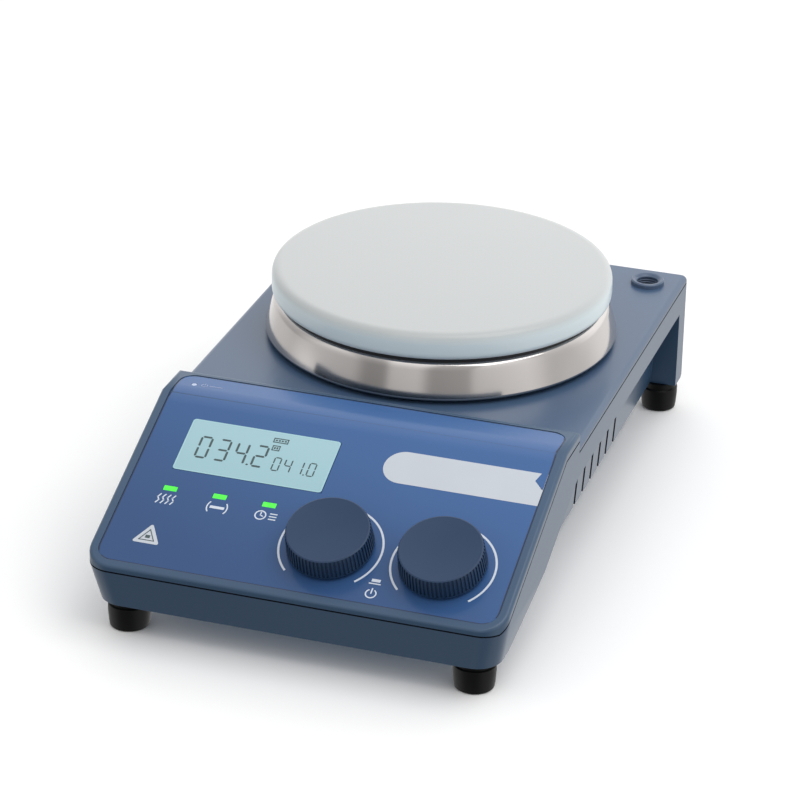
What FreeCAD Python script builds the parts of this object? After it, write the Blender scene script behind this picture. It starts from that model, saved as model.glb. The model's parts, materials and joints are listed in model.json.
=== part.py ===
import FreeCAD, Part
import math
import os

# Heating magnetic stirrer for the laboratory bench, in millimetres.
# X is the width, +Y points to the rear, +Z is up, and the feet stand on z = 0
# with the middle of the casing at x = 0, y = 0.

# ---- driving dimensions ----------------------------------------------------
width = 160.0
depth = 268.0
height = 86.0                 # floor to plate top
plate_diameter = 135.0

front_y = -depth / 2
rear_y = depth / 2
half_width = width / 2
wall = 2.5                    # moulded casing wall
fit_gap = 0.15                # gap between moulded pieces that face each other
front_corner_radius = 10.0
rear_corner_radius = 2.8

casing_floor_z = 12.0         # underside of the casing and of both rear legs
deck_z = 57.8                 # top of the rear deck
deck_seam_z = 54.8            # where the deck cover meets the casing
seam_gap = 0.45                # height of the fine groove that runs round along the seam
seam_depth = 0.6
bezel_top_z = 63.5            # nearly level strip behind the control slope
bend_y = front_y + 80.4       # where the control slope turns level
bezel_rear_y = front_y + 98.6
nose_z = 29.6                 # top front edge of the control slope
bezel_lip = 4.0               # visible height of the bezel above its seam
nose_lip = 2.6

skirt_bottom_z = 44.5         # lower edge of the flush side skirt
skirt_bend_y = front_y + 98.0
skirt_toe_y = front_y + 19.5
core_half_width = 69.0        # recessed lower tub, at the floor
core_half_width_top = 71.5
leg_front_y = rear_y - 12.6
leg_chamfer = 2.6              # bevel along the bottom rear edge of each leg
rear_wall_y = rear_y - 8.0    # recessed back wall between the legs

plate_y = front_y + 179.8     # axis of plate, heater, motor and magnets
plate_radius = plate_diameter / 2
plate_bottom_z = 75.4
pan_bottom_z = 59.4
pan_top_z = 74.2
pan_top_radius = 66.4
pan_bottom_radius = 70.0
pan_thickness = 0.8
lead_x = -40.0                # passage for the heater leads through shield and deck
lead_y = plate_y + 30.0
lead_radius = 4.0
standoff_radius = 53.0

overlay_half_width = 76.3
overlay_front = 3.4           # measured up the slope from the front edge
overlay_rear_y = bezel_rear_y - 3.1
overlay_recess = 0.9
overlay_thickness = 0.65
overlay_corner = 6.0

knob_spacing = 42.7
knob_x = (7.8, 7.8 + knob_spacing)
knob_up_slope = 26.2
knob_base_radius = 16.2
knob_top_radius = 15.7
knob_height = 8.6
knob_gap = 1.1                # air under the knob, used by the push travel
push_travel = 0.8

lcd_centre = (-33.0, 62.3)
lcd_size = (59.0, 25.2)
light_size = (5.2, 2.2)
light_x = (-59.6, -40.1, -20.7)
light_up_slope = 40.4

boss_x = 66.2
boss_y = rear_y - 14.7
boss_radius = 6.8
rod_thread_radius = 4.25      # M10 core diameter
rod_thread_depth = 11.4
rod_socket_z = 47.4           # underside of the rod socket, above the skirt ledge

foot_radius = 8.0
rear_foot_radius = 7.5
front_foot = (66.6, front_y + 12.8)
rear_foot = (72.0, rear_y - 7.8)

vent_count = 6
vent_pitch = 11.6
vent_width = 2.6
vent_first_y = 2.5

panel_y = rear_wall_y + 1.6   # outer face of the rear connector plate
inlet_x = -36.0
rocker_x = -2.0
sensor_x = 21.0
serial_x = 44.0
connector_z = 30.0
rocker_tilt = 8.0             # either way from the middle

slope = math.atan2(bezel_top_z - nose_z, bend_y - front_y)
slope_length = (bend_y - front_y) / math.cos(slope)

V = FreeCAD.Vector


# ---- small helpers ---------------------------------------------------------
def box(x0, x1, y0, y1, z0, z1):
    return Part.makeBox(x1 - x0, y1 - y0, z1 - z0, V(x0, y0, z0))


def cylinder(x, y, z0, z1, radius):
    return Part.makeCylinder(radius, z1 - z0, V(x, y, z0))


def ring(x, y, z0, z1, outer, inner):
    return cylinder(x, y, z0, z1, outer).cut(cylinder(x, y, z0 - 1, z1 + 1, inner))


def cylinder_y(x, z, y0, y1, radius):
    return Part.makeCylinder(radius, y1 - y0, V(x, y0, z), V(0, 1, 0))


def side_profile(points, x0, x1):
    """A closed outline of (y, z) points, extruded across the width."""
    corners = [V(x0, y, z) for y, z in points]
    face = Part.Face(Part.makePolygon(corners + corners[:1]))
    return face.extrude(V(x1 - x0, 0, 0))


def plan_wire(half_front, half_rear, y0, y1, r_front, r_rear, z):
    """A plan outline with rounded corners; it may be narrower in front."""
    f, r = r_front, r_rear
    c = math.sqrt(0.5)
    p = [V(-half_front + f, y0, z), V(half_front - f, y0, z),
         V(half_front, y0 + f, z), V(half_rear, y1 - r, z),
         V(half_rear - r, y1, z), V(-half_rear + r, y1, z),
         V(-half_rear, y1 - r, z), V(-half_front, y0 + f, z)]
    mids = [V(half_front - f + f * c, y0 + f - f * c, z),
            V(half_rear - r + r * c, y1 - r + r * c, z),
            V(-half_rear + r - r * c, y1 - r + r * c, z),
            V(-half_front + f - f * c, y0 + f - f * c, z)]
    edges = []
    for i in range(4):
        a, b, d = p[2 * i], p[2 * i + 1], p[(2 * i + 2) % 8]
        edges.append(Part.makeLine(a, b))
        edges.append(Part.Arc(b, mids[i], d).toShape())
    return Part.Wire(edges)


def plan_block(inset, z0, z1, y0=front_y, y1=rear_y, r_front=front_corner_radius,
               r_rear=rear_corner_radius, half=half_width):
    """A vertical block of the casing's plan, drawn in by an inset."""
    h = half - inset
    wire = plan_wire(h, h, y0 + inset, y1 - inset, max(r_front - inset, 1.0),
                     max(r_rear - inset, 1.0), z0)
    return Part.Face(wire).extrude(V(0, 0, z1 - z0))


def on_panel(shape):
    """Move a shape drawn at the front edge of a flat panel onto the slope."""
    turned = shape.copy()
    tilt = FreeCAD.Placement(
        V(0, front_y, nose_z), FreeCAD.Rotation(V(1, 0, 0), math.degrees(slope)))
    turned.Placement = tilt.multiply(turned.Placement)
    return turned


def revolve(points, x=0.0, y=0.0):
    """Turn a closed outline of (radius, z) points about a vertical axis."""
    corners = [V(x + r, y, z) for r, z in points]
    face = Part.Face(Part.makePolygon(corners + corners[:1]))
    return face.revolve(V(x, y, 0), V(0, 0, 1), 360)


def fuse(shapes):
    whole = shapes[0].multiFuse(shapes[1:]) if len(shapes) > 1 else shapes[0]
    return whole.removeSplitter()


def cut(shape, tools):
    return shape.cut(tools)


def slope_z(y, drop=0.0):
    """Height of the control slope at y, lowered by a vertical drop."""
    return nose_z + (y - front_y) * math.tan(slope) - drop


parts = {}


def add(name, shape):
    parts[name] = shape


# ---- casing ----------------------------------------------------------------
SIDE_SEAM = [
    (front_y - 1, nose_z - nose_lip), (front_y + 4, nose_z - nose_lip),
    (front_y + 7, slope_z(front_y + 7, bezel_lip)),
    (bend_y, bezel_top_z - bezel_lip), (bezel_rear_y, bezel_top_z - bezel_lip),
    (bezel_rear_y, deck_seam_z), (rear_y + 1, deck_seam_z)]


def seam_line(drop, rise=0.0):
    return [(y, z - drop + rise) for y, z in SIDE_SEAM]


def casing_envelope(inset=0.0):
    """Upright above the front seam; front wall and front corners lean in below."""
    lean = 3.2
    break_z = nose_z - nose_lip
    half, y0, y1 = half_width - inset, front_y + inset, rear_y - inset
    corners = (front_corner_radius - inset, max(rear_corner_radius - inset, 1.0))
    upper = plan_block(inset, break_z, height)
    top = plan_wire(half, half, y0, y1, *corners, break_z)
    low = plan_wire(half - lean, half, y0 + lean, y1, *corners, casing_floor_z - 1)
    return upper.fuse(Part.makeLoft([low, top], True, True))


def seam_groove():
    """A fine groove just above the seam, cut into the deck cover and the bezel."""
    band = side_profile(SIDE_SEAM + [(y, z + seam_gap) for y, z in reversed(SIDE_SEAM)],
                        -half_width - 1, half_width + 1)
    return band.cut(plan_block(seam_depth, 0, height))


def core_block(inset, floor_z, top_z):
    """The recessed lower tub, slightly wider at the top."""
    sections = []
    for z, half in ((floor_z, core_half_width), (top_z, core_half_width_top)):
        wire = plan_wire(half - inset, half - inset, front_y + inset, rear_wall_y - inset,
                         4.0, 3.0, z)
        sections.append(wire)
    return Part.makeLoft(sections, True, True)


def leg_posts(inset, z0):
    """Both rear legs, flush with the skirt."""
    posts = []
    for side in (-1, 1):
        x0, x1 = sorted((side * (core_half_width - 1 + inset), side * (half_width - inset)))
        posts.append(box(x0, x1, leg_front_y + inset, rear_y - inset, z0, skirt_bottom_z + 4))
    return posts


def base_casing():
    skirt = side_profile(
        seam_line(0) + [(rear_y + 1, skirt_bottom_z), (skirt_bend_y, skirt_bottom_z),
                        (skirt_toe_y, casing_floor_z), (front_y - 1, casing_floor_z)],
        -half_width - 1, half_width + 1)
    under_seam = side_profile(
        seam_line(0) + [(rear_y + 1, 0), (front_y - 1, 0)], -half_width - 1, half_width + 1)
    core = core_block(0, casing_floor_z, skirt_bottom_z + 4).common(under_seam)
    outer = fuse([skirt, core] + leg_posts(0, casing_floor_z)).common(casing_envelope())
    bevel = side_profile(
        [(rear_y - 1.6 * leg_chamfer, casing_floor_z - 1), (rear_y + 1, casing_floor_z - 1),
         (rear_y + 1, casing_floor_z + leg_chamfer + 1), (rear_y, casing_floor_z + leg_chamfer),
         (rear_y - 1.6 * leg_chamfer, casing_floor_z)], -half_width - 1, half_width + 1)
    outer = outer.cut(bevel)

    hollow_skirt = side_profile(
        seam_line(0, 6) + [(rear_y + 1, skirt_bottom_z + wall),
                           (skirt_bend_y - 1, skirt_bottom_z + wall),
                           (skirt_toe_y + 3, casing_floor_z + wall),
                           (front_y - 1, casing_floor_z + wall)],
        -half_width, half_width)
    hollow_skirt = hollow_skirt.common(casing_envelope(wall + 0.7))
    hollow_core = core_block(wall, casing_floor_z + wall, skirt_bottom_z + 6)
    hollow_core = hollow_core.common(plan_block(wall + 3, 0, height))
    hollow = fuse([hollow_skirt, hollow_core] + leg_posts(wall, casing_floor_z + wall))
    shell = outer.cut(hollow)

    posts = [cylinder(x, y, casing_floor_z, z_top, 4.2) for x, y, z_top in cover_posts()]
    posts += [cylinder(x, y, casing_floor_z + 1, board_z, 3.2) for x, y in board_posts()]
    posts += [cylinder(x, y, casing_floor_z + 1, bracket_z, 4.5) for x, y in bracket_posts()]
    shell = fuse([shell] + posts)

    tools = []
    for x, y, z_top in cover_posts():
        tools.append(cylinder(x, y, casing_floor_z - 1, z_top + 1, 1.8))
        tools.append(cylinder(x, y, casing_floor_z - 1, casing_floor_z + 3, 3.4))
    tools += [cylinder(x, y, board_z - 8, board_z + 1, 1.25) for x, y in board_posts()]
    tools += [cylinder(x, y, bracket_z - 9, bracket_z + 1, 1.6) for x, y in bracket_posts()]
    for i in range(vent_count):
        y = vent_first_y + i * vent_pitch
        tools.append(box(-half_width, -core_half_width + wall + 1, y - vent_width / 2,
                         y + vent_width / 2, casing_floor_z - 1, 38))
        tools.append(box(core_half_width - wall - 1, half_width, y - vent_width / 2,
                         y + vent_width / 2, casing_floor_z - 1, 38))
    tools.append(box(-54, 62, rear_wall_y - wall - 1, rear_wall_y + 1, 16.4, 41.4))
    for x, z in rear_plate_screw_places():
        tools.append(cylinder_y(x, z, rear_wall_y - wall - 1, rear_wall_y + 1, 1.25))
    for x, y, z in foot_places():
        tools.append(cylinder(x, y, z - 1, z + 7, 2.0))
    return cut(shell, tools)


def cover_posts():
    """Screw posts under the deck and the bezel: x, y and the height of the post."""
    deck_posts = [(x, y, 32.0) for x in (-60, 60) for y in (-24, 104)]
    bezel_posts = [(x, front_y + 32, 21.0) for x in (-63, 63)]
    return deck_posts + bezel_posts


def foot_places():
    places = []
    for side in (-1, 1):
        places.append((side * front_foot[0], front_foot[1], casing_floor_z))
        places.append((side * rear_foot[0], rear_foot[1], casing_floor_z))
    return places


def deck_cover():
    """The rear top: a closed, spill-proof lid with rounded outer edges."""
    lid = plan_block(0, deck_seam_z, deck_z)
    lid = lid.common(box(-100, 100, bezel_rear_y + fit_gap, 200, 0, 100))
    rim = [e for e in lid.Edges
           if abs(e.BoundBox.ZMin - deck_z) < 0.01 and abs(e.BoundBox.ZMax - deck_z) < 0.01
           and e.BoundBox.YMax > bezel_rear_y + 1]
    lid = lid.makeFillet(2.2, rim)
    lip_outer = plan_block(wall + 0.7 + fit_gap, deck_seam_z - 3, deck_seam_z)
    lip_inner = plan_block(wall + 2.4, deck_seam_z - 4, deck_seam_z + 1)
    lip = lip_outer.cut(lip_inner).common(box(-100, 100, bezel_rear_y + 3, 200, 0, 100))
    posts = [cylinder(x, y, z_top, deck_seam_z + 1, 4.2)
             for x, y, z_top in cover_posts() if y > bezel_rear_y]
    rod_socket = cylinder(boss_x, boss_y, rod_socket_z, deck_z, 8.2)
    rod_socket = rod_socket.common(plan_block(wall + 1.0, 0, height))
    cover = fuse([lid, lip, rod_socket] + posts)
    tools = [cylinder(x, y, z_top - 1, z_top + 12, 1.3)
             for x, y, z_top in cover_posts() if y > bezel_rear_y]
    tools += [cylinder(x, y, deck_seam_z - 1, deck_z + 1, 2.2) for x, y in standoff_places()]
    tools += [cylinder(lead_x, lead_y, deck_seam_z - 1, deck_z + 1, lead_radius)]
    tools += [cylinder(boss_x, boss_y, 0, height, boss_radius - 1.2), seam_groove()]
    return cut(cover, tools)


def top_outline(drop):
    """Side view of the control slope and the level strip, lowered square to each."""
    corner = drop * math.tan(slope / 2)
    return [(front_y + drop * math.sin(slope), nose_z - drop * math.cos(slope)),
            (bend_y + corner, bezel_top_z - drop)]


def control_bezel():
    """The front top: a bent frame around the recess that holds the printed panel."""
    top = side_profile(
        [(front_y, nose_z), (bend_y, bezel_top_z), (bezel_rear_y, bezel_top_z)]
        + [(y, z) for y, z in reversed(SIDE_SEAM[:5])],
        -half_width - 1, half_width + 1)
    top = top.common(plan_block(0, 0, height))
    top = top.common(box(-100, 100, -200, bezel_rear_y, deck_z + 0.1, 100).fuse(
        box(-100, 100, -200, bezel_rear_y - 4, 0, 100)))
    rim = [e for e in top.Edges if is_top_rim(e)]
    top = top.makeFillet(1.5, rim)

    under = top_outline(overlay_recess + 2.0)
    hollow = side_profile(
        [(front_y - 5, under[0][1] - 2.1)] + under
        + [(bezel_rear_y + 5, bezel_top_z - overlay_recess - 2.0), (bezel_rear_y + 5, 0),
           (front_y - 5, 0)], -half_width, half_width)
    hollow = hollow.common(plan_block(wall + 0.7, 0, height, y1=bezel_rear_y, r_rear=3.0))
    bezel = top.cut(hollow)

    lip = side_profile(
        [(y, z + 1.8) for y, z in SIDE_SEAM[1:5]]
        + [(y, z - 2.5) for y, z in reversed(SIDE_SEAM[1:5])], -half_width, half_width)
    lip = lip.common(plan_block(wall + 0.7 + fit_gap, 0, height, y1=bezel_rear_y - 4))
    lip = lip.common(casing_envelope(wall + 0.7 + fit_gap))
    lip = lip.cut(plan_block(wall + 2.4, 0, height, y1=bezel_rear_y - 1))
    rear_skirt = box(-70, 70, bezel_rear_y - 2.2, bezel_rear_y - 0.2, deck_z + 0.1,
                     bezel_top_z - 1)
    posts = [cylinder(x, y, z_top, slope_z(y, 2.5), 4.2)
             for x, y, z_top in cover_posts() if y < bezel_rear_y]
    pillars = [on_panel(cylinder(x, y, board_top_w, -overlay_recess - 1.0, 2.8))
               for x, y in panel_screws()]
    bezel = fuse([bezel, lip, rear_skirt] + posts + pillars)
    tools = [overlay_sheet(True), seam_groove()]
    tools += [on_panel(cylinder(x, y, board_top_w - 1, board_top_w + 8, 1.3))
              for x, y in panel_screws()]
    tools += [cylinder(x, y, z_top - 1, z_top + 10, 1.3)
              for x, y, z_top in cover_posts() if y < bezel_rear_y]
    tools += panel_openings(-12, 1.0)
    return cut(bezel, tools)


def is_top_rim(edge):
    """True for the outer edges of the bezel's sloping and level top faces."""
    box_ = edge.BoundBox
    middle = edge.valueAt((edge.FirstParameter + edge.LastParameter) / 2)
    if middle.y < bend_y:
        height_here = slope_z(middle.y)
    else:
        height_here = bezel_top_z
    on_top = abs(middle.z - height_here) < 0.05
    across_bend = abs(middle.y - bend_y) < 0.05 and box_.XLength > 50
    return on_top and not across_bend


def overlay_sheet(as_recess):
    """The bent printed sheet, or the slightly larger recess that it lies in."""
    grow = 0.12 if as_recess else 0.0
    deep = overlay_recess
    high = -2.0 if as_recess else overlay_recess - overlay_thickness
    lower = top_outline(deep)
    upper = top_outline(high)
    reach = overlay_rear_y + 10
    sheet = side_profile(
        [lower[0], lower[1], (reach, bezel_top_z - deep), (reach, bezel_top_z - high),
         upper[1], upper[0]], -half_width, half_width)
    front = front_y + overlay_front * math.cos(slope)
    plan = plan_block(0, 0, height + 20, y0=front - grow, y1=overlay_rear_y + grow,
                      r_front=overlay_corner + grow, r_rear=overlay_corner + grow,
                      half=overlay_half_width + grow)
    return sheet.common(plan)


def panel_openings(low, high):
    """Openings through the bezel skin behind the display, lights and knobs."""
    tools = []
    cx, cy = lcd_centre
    w, h = lcd_size[0] / 2 - 1.0, lcd_size[1] / 2 - 1.0
    tools.append(box(cx - w, cx + w, cy - h, cy + h, low, high))
    for x in light_x:
        tools.append(light_block(x, light_up_slope, low, high, 0.1))
    for x in knob_x:
        tools.append(cylinder(x, knob_up_slope, low, high, 4.6))
    tools = [on_panel(tool) for tool in tools]
    tools.append(cylinder(power_light_place[0], power_light_place[1], bezel_top_z - 6,
                          bezel_top_z + 1, 1.1))
    return tools


def light_block(x, y, z0, z1, grow=0.0):
    w, h = light_size[0] / 2 + grow, light_size[1] / 2 + grow
    return box(x - w, x + w, y - h, y + h, z0, z1)


# ---- control panel ---------------------------------------------------------
power_light_place = (-69.7, bend_y + 7.7)
board_top_w = -14.0           # front face of the panel board, below the slope


def control_panel():
    overlay = overlay_sheet(False)
    cx, cy = lcd_centre
    w, h = lcd_size[0] / 2, lcd_size[1] / 2
    tools = [on_panel(box(cx - w, cx + w, cy - h, cy + h, -3, 3))]
    for x in light_x:
        tools.append(on_panel(light_block(x, light_up_slope, -3, 3, 0.1)))
    for x in knob_x:
        tools.append(on_panel(cylinder(x, knob_up_slope, -3, 3, 4.6)))
    tools.append(cylinder(power_light_place[0], power_light_place[1], bezel_top_z - 3,
                          bezel_top_z + 1, 1.1))
    add("panel_overlay", cut(overlay, tools))

    w, h = w - 0.1, h - 0.1
    add("lcd_window", on_panel(box(cx - w, cx + w, cy - h, cy + h, -overlay_recess,
                                   -overlay_recess + 0.75)))
    module = box(cx - 31, cx + 31, cy - 15, cy + 15, -8.6, -4.0)
    legs = [box(cx + sx * 29 - 1.5, cx + sx * 29 + 1.5, cy + sy * 13 - 1.5, cy + sy * 13 + 1.5,
                board_top_w, -8.0) for sx in (-1, 1) for sy in (-1, 1)]
    add("lcd_module", on_panel(fuse([module] + legs)))
    lights = []
    for x in light_x:
        block = light_block(x, light_up_slope, -4.2, -0.25)
        base = box(x - 4, x + 4, light_up_slope - 2, light_up_slope + 2, board_top_w, -4.2)
        lights.append(block.fuse(base))
    add("status_lights", on_panel(Part.makeCompound(lights)))
    px, py = power_light_place
    lamp = cylinder(px, py, bezel_top_z - 4.2, bezel_top_z - 0.3, 1.0)
    skin_z = bezel_top_z - overlay_recess - 2.0
    add("power_light", lamp.fuse(cylinder(px, py, skin_z - 1.8, skin_z, 1.8)))

    board = box(-71, 71, 8, 80, board_top_w - 1.6, board_top_w)
    holes = [cylinder(x, y, board_top_w - 3, board_top_w + 1, 1.6) for x, y in panel_screws()]
    for side in (-63, 63):
        holes.append(box(side - 6, side + 9, 22.5, 34.5, -30, 0))
    add("panel_board", on_panel(cut(board, holes)))


def panel_screws():
    return [(-67, 12), (67, 12), (-67, 76), (67, 76)]


def encoder(name, x):
    """Push-and-turn encoder: body, push plate, shaft and fluted knob."""
    y = knob_up_slope
    body = box(x - 6.2, x + 6.2, y - 6.2, y + 6.2, board_top_w, board_top_w + 6.6)
    bush = cylinder(x, y, board_top_w + 6.6, -0.2, 3.6)
    body = body.fuse(bush)
    body = body.cut(cylinder(x, y, board_top_w + 1.2, board_top_w + 5.0, 4.6))
    body = body.cut(cylinder(x, y, board_top_w + 4, 1, 3.05))
    add(name + "_encoder", on_panel(body))

    plate = cylinder(x, y, board_top_w + 2.4, board_top_w + 3.3, 4.3)
    add(name + "_push_plate", on_panel(plate))

    knob_low = -overlay_recess + overlay_thickness + knob_gap
    knob_top = knob_low + knob_height
    shaft = cylinder(x, y, board_top_w + 3.35, knob_top - 2.6, 3.0)
    flat = box(x - 3, x + 3, y + 2.2, y + 4, knob_low + 1.5, knob_top)
    shaft = shaft.cut(flat)
    add(name + "_shaft", on_panel(shaft))

    rim = 1.0
    skirt = 1.2
    outline = [(0, knob_low), (knob_base_radius, knob_low),
               (knob_base_radius, knob_low + skirt),
               (knob_base_radius - 0.5, knob_low + skirt + 0.3),
               (knob_top_radius, knob_top - rim),
               (knob_top_radius - rim * 0.3, knob_top - rim * 0.3),
               (knob_top_radius - rim, knob_top), (0, knob_top)]
    knob = revolve([(r, z) for r, z in outline], x, y)
    flutes = []
    count = 40
    for i in range(count):
        turn = 360.0 * i / count
        flute = Part.makeCylinder(0.75, knob_height + 6, V(0, 0, 0))
        flute.Placement = FreeCAD.Placement(
            V(knob_base_radius + 0.15, 0, knob_low + skirt + 0.3),
            FreeCAD.Rotation(V(0, 1, 0), -math.degrees(math.atan2(
                knob_base_radius - 0.5 - knob_top_radius, knob_height - skirt - rim))))
        flute.rotate(V(0, 0, 0), V(0, 0, 1), turn)
        flute.translate(V(x, y, 0))
        flutes.append(flute)
    knob = cut(knob, flutes)
    socket = cylinder(x, y, knob_low - 1, knob_top - 2.55, 3.0)
    socket = socket.cut(flat)
    knob = knob.cut(socket)
    hollow = cylinder(x, y, knob_low - 1, knob_low + 3.2, knob_base_radius - 3.0)
    knob = knob.cut(hollow.cut(cylinder(x, y, knob_low - 2, knob_low + 5, 5.4)))
    add(name + "_knob", on_panel(knob))


# ---- heating plate ---------------------------------------------------------
def standoff_places():
    places = []
    for i in range(4):
        a = math.radians(45 + 90 * i)
        places.append((standoff_radius * math.cos(a), plate_y + standoff_radius * math.sin(a)))
    return places


def heating_plate():
    disc = cylinder(0, plate_y, plate_bottom_z, height, plate_radius)
    top_edge = [e for e in disc.Edges if e.BoundBox.ZMin > height - 0.01]
    disc = disc.makeFillet(2.6, top_edge)
    low_edge = [e for e in disc.Edges if e.BoundBox.ZMax < plate_bottom_z + 0.01]
    disc = disc.makeFillet(1.8, low_edge)
    pilot = [cylinder(x, y, plate_bottom_z - 1, plate_bottom_z + 6, 1.6)
             for x, y in standoff_places()]
    add("plate_disc", cut(disc, pilot))

    rt, rb, t = pan_top_radius, pan_bottom_radius, pan_thickness
    add("plate_pan", revolve(
        [(rt - 7, pan_top_z - t), (rt - 2.2, pan_top_z - t), (rt - t, pan_top_z - 2.4),
         (rb - t - 0.3, pan_bottom_z + 1.4), (rb - 1.6, pan_bottom_z + t),
         (rb - 5, pan_bottom_z + t), (rb - 5, pan_bottom_z), (rb - 1.2, pan_bottom_z),
         (rb, pan_bottom_z + 1.2), (rt + 0.05, pan_top_z - 2.2), (rt - 0.9, pan_top_z - 0.7),
         (rt - 2.2, pan_top_z), (rt - 7, pan_top_z)], 0, plate_y))
    add("plate_seal", ring(0, plate_y, pan_top_z, plate_bottom_z, rt - 2.4, rt - 7))

    shield_z = pan_bottom_z + t
    shield = cylinder(0, plate_y, shield_z, shield_z + t, rb - 3.6)
    through = [cylinder(x, y, 50, 80, 5.2) for x, y in standoff_places()]
    lead_hole = cylinder(lead_x, lead_y, 50, 80, lead_radius)
    add("heat_shield", cut(shield, through + [lead_hole]))
    pad = cylinder(0, plate_y, shield_z + t, plate_bottom_z - 5.0, rt - 4.0)
    add("insulation_pad", cut(pad, through + [lead_hole]))
    element = ring(0, plate_y, plate_bottom_z - 5.0, plate_bottom_z, 47, 14)
    add("heating_element", element)
    probe = cylinder(0, plate_y, plate_bottom_z - 5.0, plate_bottom_z, 3.0)
    add("plate_sensor", probe)
    cutout = box(-8, 8, plate_y - 57, plate_y - 49.5, plate_bottom_z - 5.0, plate_bottom_z)
    add("thermal_cutout", cutout)

    standoffs = [ring(x, y, deck_z, plate_bottom_z, 4.6, 2.1) for x, y in standoff_places()]
    add("plate_standoffs", Part.makeCompound(standoffs))
    screws = []
    for x, y in standoff_places():
        shank = cylinder(x, y, deck_seam_z - 0.5, plate_bottom_z + 5, 1.55)
        screws.append(shank.fuse(cylinder(x, y, deck_seam_z - 3.0, deck_seam_z, 3.4)))
    add("plate_screws", Part.makeCompound(screws))


# ---- stirring drive --------------------------------------------------------
bracket_z = 20.0
motor_radius = 29.0
motor_base_z = bracket_z + 2.0
motor_top_z = 37.0
rotor_low_z = 25.4
rotor_top_z = 33.6
holder_z = 42.5               # underside of the magnet carrier disc
magnet_top_z = 53.9
magnet_radius = 8.0
magnet_offset = 17.0
shaft_radius = 2.98


def bracket_posts():
    return [(side * 34.0, plate_y + end * 34.0) for side in (-1, 1) for end in (-1, 1)]


def stirring_drive():
    plate = box(-40, 40, plate_y - 40, plate_y + 40, bracket_z, motor_base_z)
    plate = plate.makeFillet(6.0, [e for e in plate.Edges if e.BoundBox.ZLength > 1.5])
    tools = [cylinder(0, plate_y, 0, 60, 11.2)]
    tools += [cylinder(x, y, 0, 60, 2.2) for x, y in bracket_posts()]
    add("motor_bracket", cut(plate, tools))
    screws = []
    for x, y in bracket_posts():
        shank = cylinder(x, y, bracket_z - 7, motor_base_z + 0.2, 1.55)
        screws.append(shank.fuse(cylinder(x, y, motor_base_z, motor_base_z + 2.4, 3.4)))
    add("bracket_screws", Part.makeCompound(screws))

    can = cylinder(0, plate_y, motor_base_z, motor_top_z, motor_radius)
    can = can.cut(cylinder(0, plate_y, motor_base_z + 2, motor_top_z - 2, motor_radius - 1.6))
    can = can.cut(cylinder(0, plate_y, 0, 60, 8.0))
    can = can.fuse(ring(0, plate_y, motor_base_z - 1.5, rotor_low_z - 0.4, 11.0, 8.0))
    can = can.fuse(ring(0, plate_y, rotor_top_z + 0.4, motor_top_z + 1.5, 11.0, 8.0))
    add("motor_housing", can.removeSplitter())
    bearings = []
    for z in (motor_base_z - 1.0, rotor_top_z + 0.6):
        bearings.append(ring(0, plate_y, z, z + 4.0, 8.0, 3.03))
    add("motor_bearings", Part.makeCompound(bearings))
    windings = []
    for i in range(6):
        a = math.radians(60 * i)
        coil = Part.makeBox(6, 11, 9, V(-3, -5.5, 0))
        coil.Placement = FreeCAD.Placement(
            V(23.0 * math.cos(a), plate_y + 23.0 * math.sin(a), 25.0),
            FreeCAD.Rotation(V(0, 0, 1), math.degrees(a)))
        windings.append(coil)
    yoke = ring(0, plate_y, 25.0, 34.0, motor_radius - 1.6, 24.5)
    add("motor_stator", fuse([yoke] + windings))

    add("motor_rotor", ring(0, plate_y, rotor_low_z, rotor_top_z, 18.6, shaft_radius))
    disc_top = holder_z + 4.0
    add("motor_shaft", cylinder(0, plate_y, motor_base_z - 1.5, disc_top + 1.0, shaft_radius))
    holder = cylinder(0, plate_y, holder_z, disc_top, 27.0)
    holder = holder.fuse(cylinder(0, plate_y, holder_z - 2.5, holder_z + 1, 7.0))
    holder = holder.cut(cylinder(0, plate_y, 30, 60, shaft_radius))
    rims = [ring(side * magnet_offset, plate_y, disc_top, disc_top + 3.0,
                 magnet_radius + 1.4, magnet_radius) for side in (-1, 1)]
    add("magnet_holder", fuse([holder] + rims))
    magnets = [cylinder(side * magnet_offset, plate_y, disc_top, magnet_top_z, magnet_radius)
               for side in (-1, 1)]
    add("drive_magnets", Part.makeCompound(magnets))


# ---- electronics -----------------------------------------------------------
board_z = 19.0


def board_posts():
    return [(x, y) for x in (-52, 52) for y in (-86, -34)]


def electronics():
    board = box(-57, 57, -91, -29, board_z, board_z + 1.6)
    board = cut(board, [cylinder(x, y, 0, 60, 1.6) for x, y in board_posts()])
    add("control_board", board)
    chips = [box(-30, -14, -70, -54, board_z + 1.6, board_z + 3.4),
             box(0, 9, -60, -52, board_z + 1.6, board_z + 3.2),
             box(14, 30, -50, -38, board_z + 1.6, board_z + 11),
             cylinder(-44, -50, board_z + 1.6, board_z + 13, 5.0),
             cylinder(-32, -42, board_z + 1.6, board_z + 11, 4.0),
             box(30, 46, -80, -62, board_z + 1.6, board_z + 12)]
    add("board_components", Part.makeCompound(chips))
    floor_z = casing_floor_z + wall
    core = box(14, 52, 92, 100, floor_z, floor_z + 29.5)
    core = core.cut(box(21, 45, 91, 101, floor_z + 6.5, floor_z + 23.0))
    coil = box(21.3, 44.7, 88, 104, floor_z + 6.7, floor_z + 22.8)
    coil = coil.cut(box(28, 38, 91, 101, 0, 60))
    leg = box(28, 38, 92, 100, floor_z + 6.5, floor_z + 23.0)
    add("transformer_core", fuse([core, leg]))
    add("transformer_coil", coil)


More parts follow.
